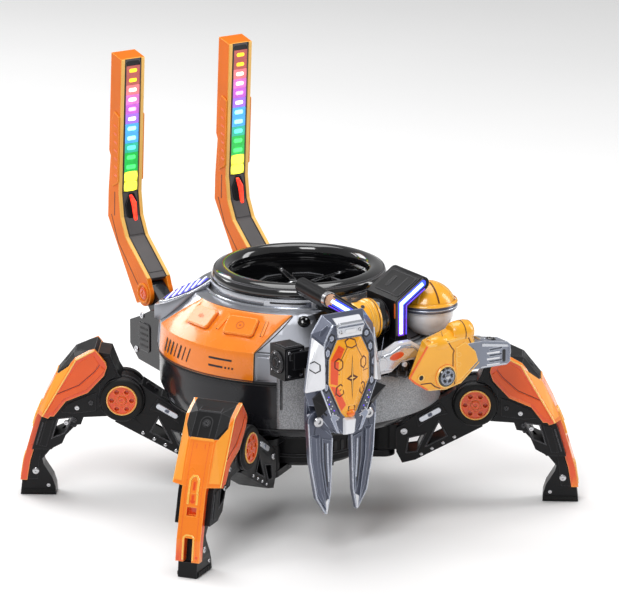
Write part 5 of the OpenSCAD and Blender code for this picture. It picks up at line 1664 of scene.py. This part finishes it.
def build_shin(leg):
    """Bracket, panels, bolts, foot and damper of a shin."""
    body, tag = leg.shin, leg.name + "_"
    for s in (-1, 1):
        upper = leg.flank(s * 11.0)
        lower = leg.flank(s * 6.0)
        label = "%d" % (s > 0)
        # knee bracket plate and its bolts
        plate(tag + "bracket_" + label, body, upper,
              flank_points(s, [(108.8, 77.4), (113.4, 89.2), (117.0, 87.6), (113.6, 82.4),
                               (114.6, 77.2), (119.6, 71.4), (119.2, 66.0), (114.8, 72.6)]),
              -0.3, 0.6, "black", 0.3)
        plate(tag + "shin_panel_" + label, body, upper,
              flank_points(s, [(120.8, 66.0), (126.0, 64.6), (138.6, 58.8), (142.4, 53.4),
                               (134.6, 52.8), (121.4, 54.6)]), -0.3, 0.6, "black", 0.35)
        for k, (r, z) in enumerate(((124.4, 59.8), (132.8, 56.6), (134.6, 48.8), (139.4, 47.0))):
            screw("%sshin_bolt_%s_%d" % (tag, label, k), body,
                  leg.flank(s * 11.0, r, z).moved(0, 0, 0.5 if k < 2 else 0), 1.5, 0.8, "steel"
                  if k % 2 else "cap_grey", "hex")
        band_along(tag + "window_" + label, body, upper,
                   flank_points(s, [(135.4, 50.6), (144.6, 49.4), (148.2, 37.2), (140.6, 40.4),
                                    (135.4, 50.6)]), 0.35, -0.3, 0.45, "cap_grey", 0.15)
        band_along(tag + "shin_edge_" + label, body, upper,
                   flank_points(s, [(153.4, 46.8), (157.6, 33.0)]), 0.4, -0.3, 0.35,
                   "cap_grey", 0.15)
        plate(tag + "shin_link_" + label, body, upper,
              flank_points(s, [(146.4, 49.0), (151.6, 48.4), (156.2, 32.4), (151.4, 31.8)]),
              -0.3, 0.5, "black", 0.3)
        # ankle and foot
        plate(tag + "ankle_" + label, body, lower,
              flank_points(s, [(154.8, 30.0), (158.4, 29.4), (161.6, 20.4), (163.2, 9.6),
                               (157.4, 9.8), (156.4, 20.0)]), -0.3, 0.55, "black", 0.3)
        stack(tag + "ankle_bolt_" + label, body, leg.flank(s * 6.0, 158.6, 15.0),
              [(2.0, -0.2), (2.0, 0.9), (1.5, 1.2), (hexagon(0.8), 1.2), (hexagon(0.8), 0.6)],
              "steel", steps=24)
        plate(tag + "sole_" + label, body, lower,
              flank_points(s, [(147.4, 0.5), (167.2, 0.5), (166.4, 3.4), (147.6, 3.4)]),
              -0.3, 0.55, "rubber", 0.25)
        for k in range(6):
            r = 149.2 + k * 3.2
            plate("%stread_%s_%d" % (tag, label, k), body, lower,
                  flank_points(s, [(r, 0.7), (r + 1.6, 0.7), (r + 1.6, 2.9), (r, 2.9)]),
                  0.4, 0.85, "rubber", 0.15)
        screw(tag + "foot_screw_" + label, body, leg.flank(s * 6.0, 151.0, 6.0), 1.2, 0.6,
              "steel", "hex")
    # damper behind the shin
    rod(tag + "damper", body, leg.point(132.6, 0, 47.6), leg.point(149.0, 0, 30.6), 2.4,
        "cap_grey", collars=(0.25, 0.7))
    rod(tag + "damper_rod", body, leg.point(147.8, 0, 31.8), leg.point(154.0, 0, 24.6), 1.3,
        "steel")


def build_thigh(leg):
    """Truss edges, rods, rivets and bolts of a thigh."""
    body, tag = leg.thigh, leg.name + "_"
    windows = ([(64.5, 30.5), (71, 31.5), (76, 42.5), (66, 40)],
               [(76, 34.5), (89, 41.5), (84, 50.5)])
    for s in (-1, 1):
        face = leg.flank(s * 9.5)
        label = "%d" % (s > 0)
        for k, outline in enumerate(windows):
            band_along("%struss_%s_%d" % (tag, label, k), body, face,
                       flank_points(s, outline + outline[:1]), 0.45, -0.4, 0.5, "cap_grey",
                       0.2)
        plate(tag + "cheek_" + label, body, face,
              flank_points(s, [(70.6, 53.4), (84.4, 62.2), (89.4, 55.4), (79.6, 52.6),
                               (71.6, 46.8)]), -0.3, 0.6, "black", 0.35)
        # bright pill-shaped rod along the upper edge
        spot = leg.flank(s * 9.5, 78.8, 54.9)
        turned = Spot(spot.origin, spot.u + spot.v * (0.58 if s < 0 else -0.58), spot.v)
        outline = [(p[0], p[1]) for p in rounded_box(15.0, 3.6, 1.75)]
        plate(tag + "pill_" + label, body, turned, outline, -0.2, 1.7, "bright_silver", 0.7, 3)
        plate(tag + "pill_mark_" + label, body, turned, rounded_box(3.0, 2.2, 0.8), 1.4, 1.95,
              "slate", 0.2)
        for k, (r, z) in enumerate(((73.6, 29.8), (80.0, 33.4), (86.6, 37.0), (93.4, 40.8))):
            stack("%srivet_%s_%d" % (tag, label, k), body, leg.flank(s * 9.5, r, z),
                  [(1.1, -0.2), (1.05, 0.4), (0.6, 0.7)], "steel", steps=14)
        screw(tag + "hip_bolt_" + label, body, leg.flank(s * 9.5, 63.2, 44.0), 2.2, 0.9,
              "steel", "hex")
    rod(tag + "top_rod", body, leg.point(85.0, 0, 63.6), leg.point(92.4, 0, 68.6), 1.8, "black",
        collars=(0.3,))
    leg.tile("top_plate", body, [(74.2, -6.6, 57.4), (74.2, 6.6, 57.4), (83.0, 6.6, 63.2),
                                 (83.0, -6.6, 63.2)], 0.5, "cap_grey", 0.3, 0.6, 0.3)
    stack(tag + "hip_cap", body, Spot(leg.point(50.0, 0, 31.4), leg.out, leg.side),
          [(7.45, 0.4), (7.5, 1.0), (7.5, 13.8), (7.45, 14.4)], "cap_grey", steps=48,
          caps=(False, False))


def build_legs():
    for name, degrees in LEG_ANGLES.items():
        leg = Leg(name, degrees)
        build_armour(leg)
        build_knee(leg)
        build_shin(leg)
        build_thigh(leg)


build_legs()


# ---------------------------------------------------------------------------- rear and below

def build_rear():
    """Sockets, vents and plates of the rear pod."""
    rear = Spot((0, 106.0, 85.6), (-1, 0, 0), (0, 0, 1))
    plate("port_panel", "body", rear, rounded_box(66, 11.5, 2.5), -0.3, 0.5, "black", 0.4)
    stack("power_socket", "body", rear.moved(-22, 0), [(4.0, 0), (4.0, 1.1), (3.2, 1.3),
                                                       (2.8, 0.6), (2.7, -2.0)], "steel",
          steps=36)
    plate("data_socket_rim", "body", rear.moved(-8, 0), rounded_box(10.4, 4.6, 2.2), 0.3, 1.0,
          "steel", 0.25)
    plate("data_socket", "body", rear.moved(-8, 0), rounded_box(8.6, 3.0, 1.4), 0.8, 1.1,
          "line")
    plate("card_slot", "body", rear.moved(6, 0), rounded_box(12.4, 2.0, 0.6), 0.3, 0.9, "line",
          0.1)
    stack("switch_rim", "body", rear.moved(20, 0), [(3.4, 0.3), (3.4, 0.9), (2.8, 1.0),
                                                    (2.7, 0.5)], "cap_grey", steps=32,
          caps=(False, False))
    plate("switch_key", "body", rear.moved(20, 0), rounded_box(3.2, 4.4, 0.8), 0.3, 1.3,
          "red_orange", 0.3)
    plate("status_light", "body", rear.moved(28, 0), rounded_box(2.0, 2.0, 0.8), 0.3, 0.9,
          "led_green", 0.2)
    slope = Spot((0, 90.5, 99.5), (-1, 0, 0), (0, -13.0, 7.0))
    for k in range(9):
        plate("rear_vent_%d" % k, "body", slope.moved(-20 + k * 5, -2.0),
              rounded_box(2.2, 9.5, 1.0), -0.4, 0.35, "line", 0.1)
    low = Spot((0, 101.0, 74.0), (-1, 0, 0), (0, 10.0, 8.0))
    plate("rear_plate", "body", low, rounded_box(70, 7.0, 2.0), -0.3, 0.5, "graphite", 0.4)
    for s in (-1, 1):
        for z in (72.0, 95.0):
            y = 98.0 if z < 80 else 91.0
            side = Spot((s * 55.0, y, z + 4), (0, s, 0), (0, 0, 1))
            screw("pod_screw_%d_%d" % (s > 0, z > 80), "body", side, 2.0, 0.8, "steel", "hex")
        side = Spot((s * 55.0, 88.0, 86.0), (0, s, 0), (0, 0, 1))
        plate("pod_side_%d" % (s > 0), "body", side, rounded_box(13, 18, 2.5), -0.3, 0.7,
              "graphite", 0.5)
        for k in range(4):
            plate("pod_slot_%d_%d" % (s > 0, k), "body", side.moved(0, -5.4 + k * 3.6),
                  rounded_box(9, 1.3, 0.6), 0.4, 0.85, "line")
        mount = Spot((s * 38.3, 99.0, 98.0), (-1, 0, 0), (0, 9.5, 9.0))
        plate("hinge_foot_%d" % (s > 0), "body", mount, rounded_box(9.0, 8.0, 1.4), -0.4, 0.6,
              "cap_grey", 0.3)


def build_lower():
    """Seams, vents and screws under and round the lower shell."""
    ring_band("shell_seam_top", "body", [(83.7, 92.6), (84.35, 92.9), (84.35, 93.6),
                                         (83.7, 93.9)], "line", 0, 360, 144)
    ring_band("shell_band", "body", [(83.3, 76.4), (84.15, 76.8), (84.35, 80.0), (84.1, 83.4),
                                     (83.4, 83.8)], "graphite", 232, 308, 60)
    ring_band("shell_seam_low", "body", [(78.6, 65.4), (79.95, 65.5), (79.6, 64.6),
                                         (78.4, 64.4)], "line", 0, 360, 144)
    for k in range(24):
        a = 15 * k + 7.5
        r0, r1 = 60.0, 66.0
        spot = Spot(polar(63.0, a, 56.0), polar(1, a + 90), polar(1, a) + Vector((0, 0, 0.217)))
        low = Spot(spot.origin, -spot.u, spot.v)
        plate("shell_foot_vent_%d" % k, "body", low, rounded_box(2.4, r1 - r0, 1.0), -0.3, 0.5,
              "line", 0.1)
    for k in range(4):
        a = 90 * k
        floor = Spot(polar(48, a, 52.9), polar(1, a + 90), -polar(1, a))
        under = Spot(floor.origin, -floor.u, floor.v) if floor.w.z > 0 else floor
        stack("shell_screw_%d" % k, "body", under, [(2.6, -0.4), (2.5, 0.5), (1.8, 0.9),
                                                    (hexagon(1.1), 0.9), (hexagon(1.1), 0.3)],
              "steel", steps=28)
    bottom = Spot((0, 0, 30.0), (1, 0, 0), (0, -1, 0))
    for i, r in enumerate((8.5, 14.0, 19.5, 25.0, 30.5)):
        stack("base_ring_%d" % i, "body", bottom, [(r, -0.4), (r, 0.8), (r + 1.4, 0.8),
                                                   (r + 1.4, -0.4)], "cap_grey", steps=72,
              caps=(False, False))
    for k in range(12):
        a = math.radians(30 * k + 15)
        spoke = bottom.moved(20 * math.cos(a), 20 * math.sin(a))
        turned = Spot(spoke.origin, bottom.u * math.cos(a) + bottom.v * math.sin(a),
                      bottom.v * math.cos(a) - bottom.u * math.sin(a))
        plate("base_spoke_%d" % k, "body", turned, rounded_box(22, 1.2, 0.4), -0.4, 0.9,
              "cap_grey", 0.2)
    plate("base_label", "body", bottom, rounded_box(11, 11, 1.5), -0.3, 0.5, "slate", 0.2)
    ring_band("hub_step", "body", [(39.6, 36.0), (40.5, 36.4), (40.5, 38.2), (39.6, 38.6)],
              "cap_grey", 0, 360, 96)
    for a in (-90, 0, 90, 180):
        for k in range(5):
            spot = Spot(polar(40.0, a + (k - 2) * 7, 41.5), polar(1, a + (k - 2) * 7 + 90),
                        (0, 0, 1))
            plate("hub_vent_%d_%d" % (a + 90, k), "body", spot, rounded_box(2.2, 6.4, 1.0),
                  -0.4, 0.4, "line", 0.1)


build_rear()
build_lower()

# ---------------------------------------------------------------------------- studio

CAMERA_AZ, CAMERA_EL = -32.49, 15.96
CAMERA_DISTANCE = 3309.5
CAMERA_TARGET = (5.19, -3.3, 122.1)


def add_camera():
    az, el = math.radians(CAMERA_AZ), math.radians(CAMERA_EL)
    back = Vector((math.sin(az) * math.cos(el), -math.cos(az) * math.cos(el), math.sin(el)))
    data = bpy.data.cameras.new("camera")
    data.lens = 322.3
    data.sensor_width = 36.0
    data.clip_end = 50.0
    camera = bpy.data.objects.new("camera", data)
    bpy.context.scene.collection.objects.link(camera)
    target = at(*CAMERA_TARGET)
    camera.location = target + back * (CAMERA_DISTANCE * MM)
    camera.rotation_euler = (-back).to_track_quat("-Z", "Y").to_euler()
    bpy.context.scene.camera = camera


def add_area(name, place, size, power, colour=(1, 1, 1)):
    data = bpy.data.lights.new(name, "AREA")
    data.shape = "RECTANGLE"
    data.size, data.size_y = size
    data.energy = power
    data.color = colour
    light = bpy.data.objects.new(name, data)
    bpy.context.scene.collection.objects.link(light)
    light.location = place
    aim = Vector((0, 0, 0.10)) - Vector(place)
    light.rotation_euler = aim.to_track_quat("-Z", "Y").to_euler()


def add_floor():
    """A pale floor with a soft, faint grain."""
    mesh = bpy.data.meshes.new("floor")
    size = 6.0
    mesh.from_pydata([(-size, -size, 0), (size, -size, 0), (size, size, 0), (-size, size, 0)],
                     [], [(0, 1, 2, 3)])
    floor = bpy.data.objects.new("floor", mesh)
    bpy.context.scene.collection.objects.link(floor)
    floor.location.z = -0.0002
    material, nodes, links, shader = new_material("pale_floor")
    tone = ramp(nodes, links, noise(nodes, links, 3.0), [(0.3, (0.93, 0.93, 0.93)),
                                                         (0.7, (0.96, 0.96, 0.96))])
    links.new(tone, shader.inputs["Base Color"])
    shader.inputs["Roughness"].default_value = 0.6
    mesh.materials.append(material)


def add_studio():
    world = bpy.data.worlds.new("studio")
    bpy.context.scene.world = world
    world.use_nodes = True
    background = world.node_tree.nodes["Background"]
    background.inputs["Color"].default_value = (1.0, 1.0, 1.0, 1.0)
    background.inputs["Strength"].default_value = 0.34
    add_area("key", (-0.9, -0.8, 1.3), (0.6, 0.6), 11.0)
    add_area("top", (0.1, 0.2, 1.4), (1.0, 1.0), 11.0)
    add_area("side", (1.3, -0.5, 0.7), (0.4, 1.0), 7.0)
    add_area("back", (-0.4, 1.2, 0.8), (0.9, 0.5), 9.0)
    add_floor()
    bpy.context.scene.view_settings.view_transform = "Standard"


add_camera()
add_studio()
